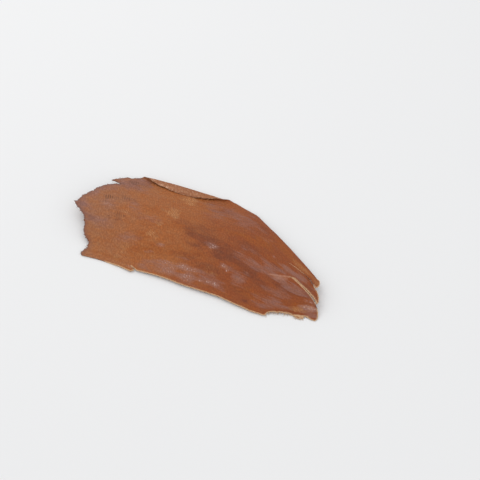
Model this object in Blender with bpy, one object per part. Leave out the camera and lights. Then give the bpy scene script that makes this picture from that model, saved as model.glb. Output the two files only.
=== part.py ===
"""A torn sheet of palm bark, made as one closed solid.

The sheet lies on its hollow side. Its length runs along X, from the broad
torn end at -X to the three lobes of the tip at +X. The plain cut edge faces
-Y. The edge that faces +Y is rolled over and lies on top of the sheet.

The outline is drawn flat, as seen from above, in millimetres. The rolled
edge is drawn unrolled, so it reaches further in Y than it does in the end.
Each point of the flat drawing is then lifted and bent by a formula, and the
mesh is made in metres with its origin under the middle of the sheet.
"""
import math
import random

import bmesh
import bpy
from mathutils import Vector
from mathutils.geometry import delaunay_2d_cdt

MM = 0.001

# The sheet itself, in millimetres
THICKNESS = 1.8
TORN_THICKNESS = 1.0
ARCH_SHARE = 0.2
TORN_TOOTH = 0.5
SEED = 11
BARK_COLOR = (0.33, 0.125, 0.05, 1.0)
BARK_ROUGHNESS = 0.62
SHARP_ANGLE = math.radians(40.0)

# Spacing of the mesh, in millimetres
EDGE_STEP = 2.8
INNER_STEP = 5.0
ROLL_STEP = 1.2
FLAP_STEP = 3.5
EDGE_CLEARANCE = 1.5
CURVE_PIECES = 12
SLOPE_STEP = 0.05
SAME_POINT = 0.01

# The long edges that the arch spans
CUT_EDGE_Y = -64.0
FAR_EDGE_Y = 86.0
FAR_BEND_X = 60.0
FAR_BEND_LENGTH = 14.0
FAR_SLANT = 0.75
TIP_BEND_X = 122.0
TIP_BEND_LENGTH = 8.0
TIP_SLANT = 0.34

# How much the arch levels out before each long edge, 1 being all the way
CUT_EDGE_LEVEL = 1.0
ROLL_EDGE_LEVEL = 0.9
FAR_EDGE_LEVEL = 0.2
FAR_LEVEL_START_X = -10.0
FAR_LEVEL_END_X = 50.0
LOWEST_ARCH = -0.2

# The long edges bow up between the spots that the sheet rests on
CUT_BOW = 2.5
CUT_BOW_MIDDLE_X = 25.0
CUT_BOW_HALF_LENGTH = 125.0
FAR_BOW = 4.0
FAR_BOW_MIDDLE_X = -20.0
FAR_BOW_HALF_LENGTH = 130.0

# The rolled edge
ROLL_START_X = -116.0
ROLL_END_X = 16.0
ROLL_LINE_START_Y = 79.5
ROLL_LINE_END_Y = 84.5
ROLL_LINE_BOW = 2.0
ROLL_RADIUS = 1.9
ROLL_FADE = 10.0
FLAP_RISE = 0.06

# Worn spots that the sheet rests on: centre, half length and half width
REST_SPOTS = (
    ((-98.0, -58.0), 12.0, 3.2),
    ((151.0, -48.6), 6.0, 2.8),
    ((-20.0, 79.5), 14.0, 3.2),
)
REST_FADE = 2.4
REST_CLEAR = 1.5
REST_RING = 0.98
REST_RING_POINTS = 14

# The tears between the lobes, from the closed end to the mouth
NEAR_TEAR = (
    (124.5, -7.8), (133.0, -9.6), (140.0, -11.4), (146.5, -13.6),
    (153.0, -16.8), (160.0, -21.8), (166.5, -27.0), (172.0, -32.2),
)
FAR_TEAR = ((136.0, 8.4), (146.0, 2.9), (153.5, -2.8), (160.0, -9.0))

# How the lobes stand against each other at the tears
CREASE_START_X = 92.0
CREASE_RISE = 2.4
CREASE_FADE_START_X = 126.0
CREASE_END_X = 154.0
CREASE_WIDTH = 11.0
CREASE_STEEP_WIDTH = 3.5
CREASE_CUT_LENGTH = 14.0
MIDDLE_LOBE_RISE = 1.6
MIDDLE_LOBE_RISE_WIDTH = 8.0
MIDDLE_LOBE_START_X = 130.0
MIDDLE_LOBE_END_X = 152.0
FAR_LOBE_RISE = 3.2
FAR_LOBE_RISE_WIDTH = 12.0
FAR_LOBE_RISE_LENGTH = 20.0

# The outline, clockwise from the point of the torn end
TORN_END_TOP = (
    (-170.0, 1.0), (-165.5, 2.5), (-165.5, 8.5), (-161.5, 15.0), (-155.0, 27.5),
    (-149.0, 42.5), (-143.5, 48.8), (-132.0, 54.2),
)
SPLINTER = ((-131.0, 56.0), (-137.0, 57.8), (-145.5, 57.3))
SPLINTER_BACK = ((-145.5, 57.3), (-138.5, 66.5), (-130.5, 74.4), (-125.5, 75.4), (-115.0, 79.5))
FLAP_EDGE = (
    (-111.0, 85.5), (-103.0, 89.0), (-91.0, 96.0), (-70.0, 100.0), (-54.0, 102.0),
    (-34.0, 100.0), (-19.0, 97.0), (-4.0, 92.0), (10.0, 88.6), (22.0, 88.0),
)
FAR_EDGE = (
    (22.0, 88.0), (38.4, 84.2), (53.0, 79.0), (64.5, 71.0), (85.4, 57.0),
    (110.0, 39.5), (135.0, 19.6), (147.0, 10.5), (156.2, 2.9),
)
FAR_LOBE_TIP = ((156.2, 2.9), (161.0, 1.2), (163.8, -2.8), (163.0, -7.3), (160.0, -8.0), (157.0, -5.0))
FAR_TEAR_FAR_SIDE = ((157.0, -5.0), (153.5, -1.9), (146.0, 3.7), (136.0, 9.0))
FAR_TEAR_NEAR_SIDE = ((136.0, 7.8), (146.0, 2.1), (153.0, -3.6), (157.5, -8.8))
MIDDLE_LOBE_TIP = ((157.5, -8.8), (161.5, -11.0), (165.5, -14.8), (172.0, -23.0), (170.5, -29.0))
NEAR_TEAR_FAR_SIDE = (
    (170.5, -29.0), (160.0, -20.0), (153.0, -15.6), (146.5, -12.4), (133.0, -8.2), (124.5, -7.0),
)
NEAR_TEAR_NEAR_SIDE = (
    (124.5, -8.4), (133.0, -10.2), (146.5, -14.2), (153.0, -17.7), (160.0, -23.6), (172.0, -33.8),
)
NEAR_LOBE_TIP = ((172.0, -33.8), (175.7, -39.2), (177.0, -44.0), (175.5, -48.4))
FRAYED_EDGE = (
    (175.5, -48.4), (165.0, -48.0), (161.0, -48.5), (158.0, -52.5), (152.0, -53.5),
    (146.0, -51.0), (133.0, -53.5), (120.0, -57.0), (118.0, -62.5),
)
CUT_EDGE = (
    (118.0, -62.5), (106.0, -64.0), (97.0, -63.0), (94.0, -64.5), (72.0, -61.5),
    (39.0, -60.0), (-8.0, -59.5), (-41.0, -60.5), (-54.0, -62.0),
)
CUT_EDGE_NOTCH = ((-54.0, -62.0), (-62.0, -57.5), (-57.5, -62.5), (-60.0, -65.5))
CUT_EDGE_END = ((-60.0, -65.5), (-74.0, -64.0), (-95.0, -62.5), (-126.0, -64.5))
TORN_END_LOW = (
    (-126.0, -64.5), (-131.0, -60.0), (-125.5, -53.0), (-128.0, -43.0), (-137.0, -37.0),
    (-140.0, -31.0), (-146.0, -20.0), (-150.0, -12.5), (-160.0, -7.0), (-170.0, 1.0),
)


def smooth_step(start, end, value):
    """Return 0 before start, 1 after end and an eased ramp between them."""
    ramp = min(max((value - start) / (end - start), 0.0), 1.0)
    return ramp * ramp * (3.0 - 2.0 * ramp)


def soft_ramp(value):
    """Return 0 well below zero and the value itself well above zero."""
    return max(value, 0.0) + math.log1p(math.exp(-abs(value)))


def bell(distance, width):
    return math.exp(-((distance / width) ** 2))


def far_edge_y(x):
    """Return where the arch ends towards +Y, bending in to the tip."""
    bend = FAR_BEND_LENGTH * soft_ramp((x - FAR_BEND_X) / FAR_BEND_LENGTH)
    return FAR_EDGE_Y - FAR_SLANT * bend


def cut_edge_y(x):
    """Return where the arch ends towards -Y."""
    bend = TIP_BEND_LENGTH * soft_ramp((x - TIP_BEND_X) / TIP_BEND_LENGTH)
    return CUT_EDGE_Y + TIP_SLANT * bend


def roll_line_y(x):
    """Return where the roll begins, which is an almost straight line."""
    share = (x - ROLL_START_X) / (ROLL_END_X - ROLL_START_X)
    share = min(max(share, 0.0), 1.0)
    bow = 4.0 * ROLL_LINE_BOW * share * (1.0 - share)
    return ROLL_LINE_START_Y + share * (ROLL_LINE_END_Y - ROLL_LINE_START_Y) + bow


def distance_across(line, x, y):
    """Return how far a point lies on the +Y side of a line that runs along X."""
    for (x0, y0), (x1, y1) in zip(line, line[1:]):
        if x <= x1 or (x1, y1) == line[-1]:
            slope = (y1 - y0) / (x1 - x0)
            return (y - y0 - slope * (x - x0)) / math.hypot(1.0, slope)
    return 0.0


def arch_height(x, y):
    """Return the height of the plain arched sheet, half way through it."""
    far_y = far_edge_y(x)
    near_y = cut_edge_y(x)
    half_width = (far_y - near_y) / 2.0
    across = (y - (far_y + near_y) / 2.0) / half_width
    across = min(max(across, -1.0), 1.2)
    along = smooth_step(FAR_LEVEL_START_X, FAR_LEVEL_END_X, x)
    far_level = ROLL_EDGE_LEVEL + (FAR_EDGE_LEVEL - ROLL_EDGE_LEVEL) * along
    level = CUT_EDGE_LEVEL if across < 0.0 else far_level
    arch = max((1.0 - across ** 2) * (1.0 - level * across ** 2), LOWEST_ARCH)
    share = min((across + 1.0) / 2.0, 1.0)
    cut_bow = CUT_BOW * max(1.0 - ((x - CUT_BOW_MIDDLE_X) / CUT_BOW_HALF_LENGTH) ** 2, 0.0)
    far_bow = FAR_BOW * ((x - FAR_BOW_MIDDLE_X) / FAR_BOW_HALF_LENGTH) ** 2
    bow = (1.0 - share) * cut_bow + share * far_bow
    return THICKNESS / 2.0 + ARCH_SHARE * half_width * arch + bow


def lobe_height(x, y, lobe):
    """Return how far a lobe stands above the plain arch at a tear."""
    from_near = distance_across(NEAR_TEAR, x, y)
    from_far = distance_across(FAR_TEAR, x, y)
    near_apex_x = NEAR_TEAR[0][0]
    far_apex_x = FAR_TEAR[0][0]
    crease = CREASE_RISE * smooth_step(CREASE_START_X, near_apex_x, x)
    crease *= 1.0 - smooth_step(CREASE_FADE_START_X, CREASE_END_X, x)
    if lobe == "near":
        return crease * bell(from_near, CREASE_WIDTH)
    closed = 1.0 - smooth_step(near_apex_x, near_apex_x + CREASE_CUT_LENGTH, x)
    rise = crease * closed * bell(from_near, CREASE_STEEP_WIDTH)
    middle = MIDDLE_LOBE_RISE * smooth_step(MIDDLE_LOBE_START_X, MIDDLE_LOBE_END_X, x)
    rise += middle * bell(from_near, MIDDLE_LOBE_RISE_WIDTH)
    if lobe == "far":
        lift = FAR_LOBE_RISE * smooth_step(far_apex_x, far_apex_x + FAR_LOBE_RISE_LENGTH, x)
        rise += lift * bell(from_far, FAR_LOBE_RISE_WIDTH)
    return rise


def surface_height(x, y, lobe):
    """Return the height half way through the sheet, with its rest spots."""
    height = arch_height(x, y) + lobe_height(x, y, lobe)
    flat = 1.0 - smooth_step(1.0, REST_FADE, rest_reach(x, y))
    return height + (THICKNESS / 2.0 - height) * flat


def surface_normal(x, y, lobe):
    h = SLOPE_STEP
    slope_x = (surface_height(x + h, y, lobe) - surface_height(x - h, y, lobe)) / (2.0 * h)
    slope_y = (surface_height(x, y + h, lobe) - surface_height(x, y - h, lobe)) / (2.0 * h)
    return Vector((-slope_x, -slope_y, 1.0)).normalized()


def lobe_of(x, y):
    """Name the lobe that a point of the flat drawing belongs to."""
    if distance_across(NEAR_TEAR, x, y) < 0.0:
        return "near"
    if x > FAR_TEAR[0][0] and distance_across(FAR_TEAR, x, y) > 0.0:
        return "far"
    return "middle"


def place(x, y):
    """Bend a point of the flat drawing. Return its place and its normal."""
    lobe = lobe_of(x, y)
    past = y - roll_line_y(x)
    fade = smooth_step(ROLL_START_X - ROLL_FADE, ROLL_START_X, x)
    fade *= 1.0 - smooth_step(ROLL_END_X - ROLL_FADE, ROLL_END_X, x)
    if past <= 0.0 or fade <= 0.0:
        point = Vector((x, y, surface_height(x, y, lobe)))
        return point, surface_normal(x, y, lobe)
    radius = ROLL_RADIUS / fade
    line_y = roll_line_y(x)
    start = Vector((x, line_y, surface_height(x, line_y, lobe)))
    normal = surface_normal(x, line_y, lobe)
    outward = Vector((0.0, normal.z, -normal.y)).normalized()
    turn = min(past / radius, math.pi)
    straight = past - turn * radius
    along = math.sin(turn) * outward + (1.0 - math.cos(turn)) * normal
    heading = math.cos(turn) * outward + math.sin(turn) * normal
    point = start + radius * along + straight * heading + straight * FLAP_RISE * normal
    return point, math.cos(turn) * normal - math.sin(turn) * outward


def curve_through(points, step):
    """Return evenly spaced points on a smooth curve through the given ones."""
    ends = [points[0]] + list(points) + [points[-1]]
    dense = []
    for p0, p1, p2, p3 in zip(ends, ends[1:], ends[2:], ends[3:]):
        for k in range(CURVE_PIECES):
            t = k / CURVE_PIECES
            dense.append(tuple(
                0.5 * (2 * b + (c - a) * t + (2 * a - 5 * b + 4 * c - d) * t * t
                       + (3 * b - a - 3 * c + d) * t ** 3)
                for a, b, c, d in zip(p0, p1, p2, p3)
            ))
    dense.append(tuple(points[-1]))
    return evenly_spaced(dense, step)


def evenly_spaced(line, step):
    """Return points along a line at even distances, with both its ends."""
    lengths = [math.dist(a, b) for a, b in zip(line, line[1:])]
    count = max(round(sum(lengths) / step), 1)
    spacing = sum(lengths) / count
    result = [line[0]]
    walked = 0.0
    for (a, b), length in zip(zip(line, line[1:]), lengths):
        while len(result) < count and walked + length >= spacing * len(result):
            share = (spacing * len(result) - walked) / length
            result.append(tuple(p + share * (q - p) for p, q in zip(a, b)))
        walked += length
    result.append(line[-1])
    return result


def straight_runs(points, step):
    """Return points along straight runs that keep every corner."""
    result = [points[0]]
    for a, b in zip(points, points[1:]):
        result.extend(evenly_spaced((a, b), step)[1:])
    return result


def torn(line, tooth, chance):
    """Shift the inner points of a line sideways at random."""
    result = [line[0]]
    for before, point, after in zip(line, line[1:], line[2:]):
        along = Vector(after) - Vector(before)
        side = Vector((-along.y, along.x)).normalized()
        result.append(tuple(Vector(point) + side * chance.uniform(-tooth, tooth)))
    result.append(line[-1])
    return result


def draw_outline():
    """Return the outline's points, and which of them lie on a torn edge."""
    chance = random.Random(SEED)
    stretches = (
        (torn(curve_through(TORN_END_TOP, EDGE_STEP), TORN_TOOTH, chance), True),
        (straight_runs(SPLINTER, EDGE_STEP), True),
        (torn(curve_through(SPLINTER_BACK, EDGE_STEP), TORN_TOOTH, chance), True),
        (torn(curve_through((SPLINTER_BACK[-1],) + FLAP_EDGE, EDGE_STEP), TORN_TOOTH, chance), True),
        (curve_through(FAR_EDGE, EDGE_STEP), False),
        (curve_through(FAR_LOBE_TIP, EDGE_STEP), False),
        (curve_through(FAR_TEAR_FAR_SIDE, EDGE_STEP), True),
        (curve_through(FAR_TEAR_NEAR_SIDE, EDGE_STEP), True),
        (curve_through(MIDDLE_LOBE_TIP, EDGE_STEP), False),
        (curve_through(NEAR_TEAR_FAR_SIDE, EDGE_STEP), True),
        (curve_through(NEAR_TEAR_NEAR_SIDE, EDGE_STEP), True),
        (curve_through(NEAR_LOBE_TIP, EDGE_STEP), False),
        (torn(curve_through(FRAYED_EDGE, EDGE_STEP), TORN_TOOTH, chance), True),
        (curve_through(CUT_EDGE, EDGE_STEP), False),
        (straight_runs(CUT_EDGE_NOTCH, EDGE_STEP), False),
        (curve_through(CUT_EDGE_END, EDGE_STEP), False),
        (torn(curve_through(TORN_END_LOW, EDGE_STEP), TORN_TOOTH, chance), True),
    )
    outline = []
    is_torn = []
    for line, flag in stretches:
        for point in line:
            if outline and math.dist(point, outline[-1]) < SAME_POINT:
                continue
            outline.append(point)
            is_torn.append(flag)
    if math.dist(outline[0], outline[-1]) < SAME_POINT:
        outline.pop()
        is_torn.pop()
    return outline, is_torn


def inner_points(outline):
    """Return the points that fill the outline, closer together in the roll."""
    xs = [p[0] for p in outline]
    ys = [p[1] for p in outline]
    points = []
    row = 0
    y = min(ys)
    while y < max(ys):
        x = min(xs) + (row % 2) * INNER_STEP / 2.0
        while x < max(xs):
            in_roll = ROLL_START_X < x < ROLL_END_X and y > roll_line_y(x) - INNER_STEP
            if not in_roll and rest_reach(x, y) > REST_CLEAR:
                points.append((x, y))
            x += INNER_STEP
        y += INNER_STEP * math.sqrt(0.75)
        row += 1
    past = -2.0 * ROLL_STEP
    while past < max(ys) - ROLL_LINE_START_Y:
        x = ROLL_START_X + INNER_STEP / 2.0
        while x < ROLL_END_X:
            points.append((x, roll_line_y(x) + past))
            x += INNER_STEP
        past += ROLL_STEP if past < math.pi * ROLL_RADIUS + ROLL_STEP else FLAP_STEP
    for spot in REST_SPOTS:
        points.extend(rest_points(spot))
    return [p for p in points if inside(p, outline) and gap_to(p, outline) > EDGE_CLEARANCE]


def rest_points(spot):
    """Return points on the rim of a rest spot, half way in and at its middle."""
    (spot_x, spot_y), half_length, half_width = spot
    points = [(spot_x, spot_y)]
    for share, count in ((REST_RING, REST_RING_POINTS), (REST_RING / 2.0, REST_RING_POINTS // 2)):
        for k in range(count):
            angle = 2.0 * math.pi * k / count
            x = spot_x + share * half_length * math.cos(angle)
            y = spot_y + share * half_width * math.sin(angle)
            points.append((x, y))
    return points


def rest_reach(x, y):
    """Return how far a point lies from the nearest rest spot, 1 being its rim."""
    return min(
        math.hypot((x - spot_x) / half_length, (y - spot_y) / half_width)
        for (spot_x, spot_y), half_length, half_width in REST_SPOTS
    )


def inside(point, outline):
    """Tell whether a point lies inside the outline."""
    x, y = point
    crossings = 0
    for (x0, y0), (x1, y1) in zip(outline, outline[1:] + outline[:1]):
        if (y0 > y) != (y1 > y) and x < x0 + (y - y0) / (y1 - y0) * (x1 - x0):
            crossings += 1
    return crossings % 2 == 1


def gap_to(point, outline):
    """Return the distance from a point to the nearest point of the outline."""
    return min(math.dist(point, corner) for corner in outline)


def make_sheet_mesh():
    """Fill the outline with triangles and give the sheet its thickness."""
    outline, is_torn = draw_outline()
    flat = [Vector(p) for p in outline + inner_points(outline)]
    count = len(outline)
    rim = [(k, (k + 1) % count) for k in range(count)]
    points, _, triangles, origins, _, _ = delaunay_2d_cdt(flat, rim, [], 1, 1e-5)
    assert len(points) == len(flat), "the outline crosses itself"
    mesh = bmesh.new()
    top = []
    bottom = []
    for point, origin in zip(points, origins):
        middle, normal = place(point.x, point.y)
        edge_is_torn = origin[0] < count and is_torn[origin[0]]
        half = (TORN_THICKNESS if edge_is_torn else THICKNESS) / 2.0
        top.append(mesh.verts.new((middle + half * normal) * MM))
        bottom.append(mesh.verts.new((middle - half * normal) * MM))
    for a, b, c in triangles:
        mesh.faces.new((top[a], top[b], top[c]))
        mesh.faces.new((bottom[c], bottom[b], bottom[a]))
    at = {origin[0]: k for k, origin in enumerate(origins)}
    for first, second in rim:
        a = at[first]
        b = at[second]
        mesh.faces.new((top[a], bottom[a], bottom[b], top[b]))
    bmesh.ops.triangulate(mesh, faces=[f for f in mesh.faces if len(f.verts) == 4])
    bmesh.ops.recalc_face_normals(mesh, faces=mesh.faces)
    centre_over_origin(mesh)
    return mesh


def centre_over_origin(mesh):
    """Move the mesh so that the origin lies under the middle of its box."""
    lows = [min(v.co[axis] for v in mesh.verts) for axis in range(3)]
    highs = [max(v.co[axis] for v in mesh.verts) for axis in range(3)]
    middle = Vector(((lows[0] + highs[0]) / 2, (lows[1] + highs[1]) / 2, lows[2]))
    bmesh.ops.translate(mesh, verts=mesh.verts, vec=-middle)


def bark_material():
    """Return the sheet's red-brown, with a soft sheen like old leather."""
    material = bpy.data.materials.new("bark")
    material.use_nodes = True
    shader = material.node_tree.nodes["Principled BSDF"]
    shader.inputs["Base Color"].default_value = BARK_COLOR
    shader.inputs["Roughness"].default_value = BARK_ROUGHNESS
    shader.inputs["Metallic"].default_value = 0.0
    return material


def main():
    for item in list(bpy.data.objects):
        bpy.data.objects.remove(item)
    mesh = bpy.data.meshes.new("bark_sheet")
    sheet = make_sheet_mesh()
    sheet.to_mesh(mesh)
    sheet.free()
    mesh.materials.append(bark_material())
    mesh.shade_smooth()
    mesh.set_sharp_from_angle(angle=SHARP_ANGLE)
    bpy.context.collection.objects.link(bpy.data.objects.new("bark_sheet", mesh))


main()
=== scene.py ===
# %% [markdown]
# # A torn sheet of dry palm bark
#
# This is the base of an old palm leaf, which once wrapped the stem. It has
# dried into a thin, leathery sheet. It is smooth and waxy outside, fibrous
# inside, arched across its width and torn at its ends. One long edge has
# rolled over and lies on top, and the tip is torn into three lobes.
#
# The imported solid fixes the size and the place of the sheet. A dressed model
# could start from that solid with modifiers, but they can't tell a cut edge
# from a torn one. So this script draws the same sheet again from its
# measures, about four times as fine, and gives it grain, worn edges, torn
# fibres and four materials.

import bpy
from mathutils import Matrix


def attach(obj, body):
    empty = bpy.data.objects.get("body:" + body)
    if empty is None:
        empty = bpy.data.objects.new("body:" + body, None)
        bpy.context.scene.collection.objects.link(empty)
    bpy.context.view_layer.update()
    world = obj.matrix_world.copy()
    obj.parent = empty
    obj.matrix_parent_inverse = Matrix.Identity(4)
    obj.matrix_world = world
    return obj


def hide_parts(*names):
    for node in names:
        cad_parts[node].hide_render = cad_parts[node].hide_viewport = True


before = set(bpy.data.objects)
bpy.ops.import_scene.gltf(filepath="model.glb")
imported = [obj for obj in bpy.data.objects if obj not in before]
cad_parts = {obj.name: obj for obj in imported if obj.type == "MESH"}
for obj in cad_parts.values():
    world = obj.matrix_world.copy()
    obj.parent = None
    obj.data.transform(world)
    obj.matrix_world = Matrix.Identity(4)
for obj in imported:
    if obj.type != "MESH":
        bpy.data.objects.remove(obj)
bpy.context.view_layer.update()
cad_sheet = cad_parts["bark_sheet"]

# %% [markdown]
# The tools come next: a unit, one seeded source of chance, which gives the
# same draws on every run, and a helper that puts an object into the scene.

# %% Tools for the rest of the lesson
import math

import bmesh
import bpy
import numpy as np
from mathutils import Vector, noise
from mathutils.bvhtree import BVHTree
from mathutils.geometry import delaunay_2d_cdt

MM = 0.001
SEED = 23

chance = np.random.default_rng(SEED)


def add_object(name, data):
    """Put an object into the scene."""
    item = bpy.data.objects.new(name, data)
    bpy.context.scene.collection.objects.link(item)
    return item


print("lengths in the drawing are millimetres, and", MM, "turns them into metres")

# %% [markdown]
# ## The camera
#
# The picture was taken with a long lens from above and a little to the
# right, so the sheet shows its whole top. The camera could be aimed by a
# constraint, but a place and two angles are easier to check against the
# picture. No shift and no depth of field are needed.

# %% Camera
CAMERA_PLACE = (0.37197, -0.77431, 1.02862)
CAMERA_DOWN = math.radians(50.0)
CAMERA_TURN = math.radians(22.5)
LENS = 80.0
SENSOR = 36.0

lens = bpy.data.cameras.new("camera")
lens.lens = LENS
lens.sensor_width = SENSOR
camera = add_object("camera", lens)
camera.location = CAMERA_PLACE
camera.rotation_euler = (math.radians(90.0) - CAMERA_DOWN, 0.0, CAMERA_TURN)
bpy.context.scene.camera = camera
print("camera", round(camera.location.length, 3), "m from the middle of the sheet")

# %% [markdown]
# ## The outline, drawn flat
#
# A sheet like this is easiest to draw as if it were pressed flat: length
# along X, width along Y, seen from above. The rolled edge is drawn unrolled.
# Each stretch of the outline is a smooth curve through a few measured
# points, walked clockwise from the point of the torn end.
#
# Every stretch has a kind, because edges tell most of the story of a piece
# of bark: one long edge was cut, one grew that way, and the rest was torn.

# %% Measured points of the torn end and the far side
TORN_END_TOP = (
    (-170.0, 0.8), (-165.4, 2.5), (-166.0, 4.6), (-165.4, 8.4), (-163.5, 11.1), (-163.4, 13.4),
    (-161.7, 14.7), (-159.0, 19.8), (-158.5, 23.0), (-155.1, 26.0), (-155.5, 28.2), (-154.6, 32.0),
    (-151.5, 37.0), (-149.9, 40.4), (-147.2, 43.2), (-145.6, 46.5), (-141.1, 49.3), (-138.2, 52.4),
    (-132.0, 54.6),
)
SPLINTER = ((-131.0, 55.6), (-137.0, 56.6), (-145.5, 57.0))
SPLINTER_BACK = (
    (-145.5, 57.0), (-144.2, 59.2), (-140.1, 64.0), (-136.1, 67.5), (-130.0, 72.8), (-124.8, 73.8),
    (-120.4, 76.8), (-115.0, 79.5),
)
FLAP_EDGE = (
    (-115.0, 79.5), (-111.0, 84.6), (-103.0, 86.8), (-91.0, 92.6), (-79.0, 95.2), (-70.0, 98.0),
    (-54.0, 100.2), (-34.0, 98.2), (-19.0, 94.6), (-4.0, 90.2),
)
FLAP_END = ((-4.0, 90.2), (7.7, 89.6), (15.7, 88.6), (22.0, 87.0))
FAR_EDGE = (
    (22.0, 87.0), (31.7, 83.6), (39.7, 81.1), (47.5, 78.7), (52.4, 76.8), (59.8, 71.8), (74.5, 62.0),
    (85.1, 55.8), (99.3, 46.6), (109.9, 39.9), (122.0, 31.6), (134.1, 23.4), (146.6, 14.0),
    (157.5, 5.2),
)
print("the far side reaches from", TORN_END_TOP[0][0], "to", FAR_EDGE[-1][0], "mm")

# %% Measured points of the lobes and the tears
FAR_LOBE_TIP = ((157.5, 5.2), (161.6, 2.8), (164.0, -1.6), (163.9, -6.4), (162.0, -9.0), (159.0, -7.4))
FAR_TEAR_FAR_SIDE = (
    (159.0, -7.4), (156.0, -4.65), (152.5, -1.5), (149.0, 1.1), (142.0, 4.9), (136.0, 8.3),
)
FAR_TEAR_NEAR_SIDE = (
    (136.0, 8.1), (142.0, 4.6), (149.0, 0.7), (152.5, -2.0), (156.0, -5.15), (158.8, -7.7),
)
MIDDLE_LOBE_TIP = (
    (158.8, -7.7), (161.8, -10.9), (166.3, -15.6), (169.9, -21.6), (171.2, -26.6), (170.2, -29.4),
)
NEAR_TEAR_FAR_SIDE = (
    (170.2, -29.4), (167.2, -26.6), (163.3, -23.6), (157.9, -20.4), (153.1, -17.7), (146.5, -14.4),
    (137.0, -9.9), (132.5, -8.5), (127.5, -8.5),
)
NEAR_TEAR_NEAR_SIDE = ((127.5, -8.85), (132.5, -8.95), (137.0, -10.3), (146.5, -14.8), (152.5, -18.15))
NEAR_LOBE_TOP = (
    (152.5, -18.15), (154.6, -19.2), (157.8, -21.1), (162.2, -24.0), (167.5, -28.1), (172.0, -33.0),
)
NEAR_LOBE_TIP = ((172.0, -33.0), (174.9, -37.4), (176.6, -43.3), (175.3, -47.6))
NEAR_LOBE_LOW_EDGE = ((175.3, -47.6), (170.3, -47.7), (164.9, -46.8), (161.1, -46.4))
print("the two long tears start at", FAR_TEAR_FAR_SIDE[-1][0], "and", NEAR_TEAR_FAR_SIDE[-1][0], "mm")

# %% Measured points of the near side
FRAYED_EDGE = (
    (161.1, -46.4), (160.9, -49.3), (157.9, -51.4), (154.5, -52.5), (150.7, -51.0), (147.6, -49.5),
    (143.9, -49.5), (137.6, -51.7), (131.8, -53.1), (125.9, -54.4), (122.6, -56.2), (119.2, -58.0),
    (118.0, -60.4), (117.4, -63.2),
)
CUT_EDGE = (
    (117.4, -63.2), (114.1, -63.9), (109.8, -63.8), (103.0, -64.2), (97.0, -64.2), (90.8, -63.3),
    (78.6, -62.5), (66.0, -61.0), (53.5, -59.8), (29.4, -60.0), (5.0, -60.1), (-7.6, -59.3),
    (-20.0, -59.1), (-32.4, -59.4), (-44.4, -60.3), (-52.4, -60.9),
)
CUT_EDGE_NOTCH = ((-52.4, -60.9), (-62.0, -57.0), (-55.8, -61.2), (-58.6, -64.4))
CUT_EDGE_END = (
    (-58.6, -64.4), (-61.3, -64.4), (-68.0, -63.5), (-74.7, -62.7), (-81.3, -62.4), (-95.0, -62.2),
)
WORN_CUT_EDGE = ((-95.0, -62.2), (-100.7, -62.0), (-113.0, -62.7), (-126.0, -64.3))
TORN_END_LOW = (
    (-126.0, -64.3), (-130.3, -61.6), (-128.6, -57.0), (-125.5, -52.0), (-127.4, -43.3),
    (-133.5, -39.8), (-136.8, -36.5), (-138.2, -34.6), (-139.7, -32.8), (-140.3, -29.8),
    (-141.7, -27.0), (-142.8, -23.4), (-144.2, -21.0), (-146.2, -20.3), (-145.5, -17.7),
    (-146.7, -15.6), (-149.0, -13.8), (-152.6, -10.9), (-155.4, -9.3), (-157.8, -7.4), (-161.3, -6.0),
    (-165.0, -3.8), (-170.0, 0.8),
)
drawn_y = [y for _, y in FLAP_EDGE + CUT_EDGE + WORN_CUT_EDGE]
print("the sheet is drawn", round(max(drawn_y) - min(drawn_y), 1), "mm wide when unrolled")

# %% Smooth curves through the points
EDGE_STEP = 0.8
CURVE_PIECES = 12


def evenly_spaced(line, step):
    """Return points along a line at even distances, with both its ends."""
    walked = np.append(0.0, np.cumsum(np.linalg.norm(np.diff(line, axis=0), axis=1)))
    stops = np.linspace(0.0, walked[-1], max(round(walked[-1] / step), 1) + 1)
    return np.column_stack([np.interp(stops, walked, line[:, axis]) for axis in (0, 1)])


def curve_through(points):
    """Return evenly spaced points on a smooth curve through the given ones."""
    knots = np.array(points)
    a, b, c, d = (np.vstack([knots[:1], knots, knots[-1:]])[k:len(knots) - 1 + k, None] for k in range(4))
    t = (np.arange(CURVE_PIECES) / CURVE_PIECES)[None, :, None]
    curve = 2 * b + (c - a) * t + (2 * a - 5 * b + 4 * c - d) * t ** 2 + (3 * b - a - 3 * c + d) * t ** 3
    return evenly_spaced(np.vstack([curve.reshape(-1, 2) / 2, knots[-1:]]), EDGE_STEP)


def straight_runs(points):
    """Return points along straight runs that keep every corner."""
    runs = [evenly_spaced(np.array(pair), EDGE_STEP)[1:] for pair in zip(points, points[1:])]
    return np.vstack([[points[0]]] + runs)


print("the far edge takes", len(curve_through(FAR_EDGE)), "points")
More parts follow.
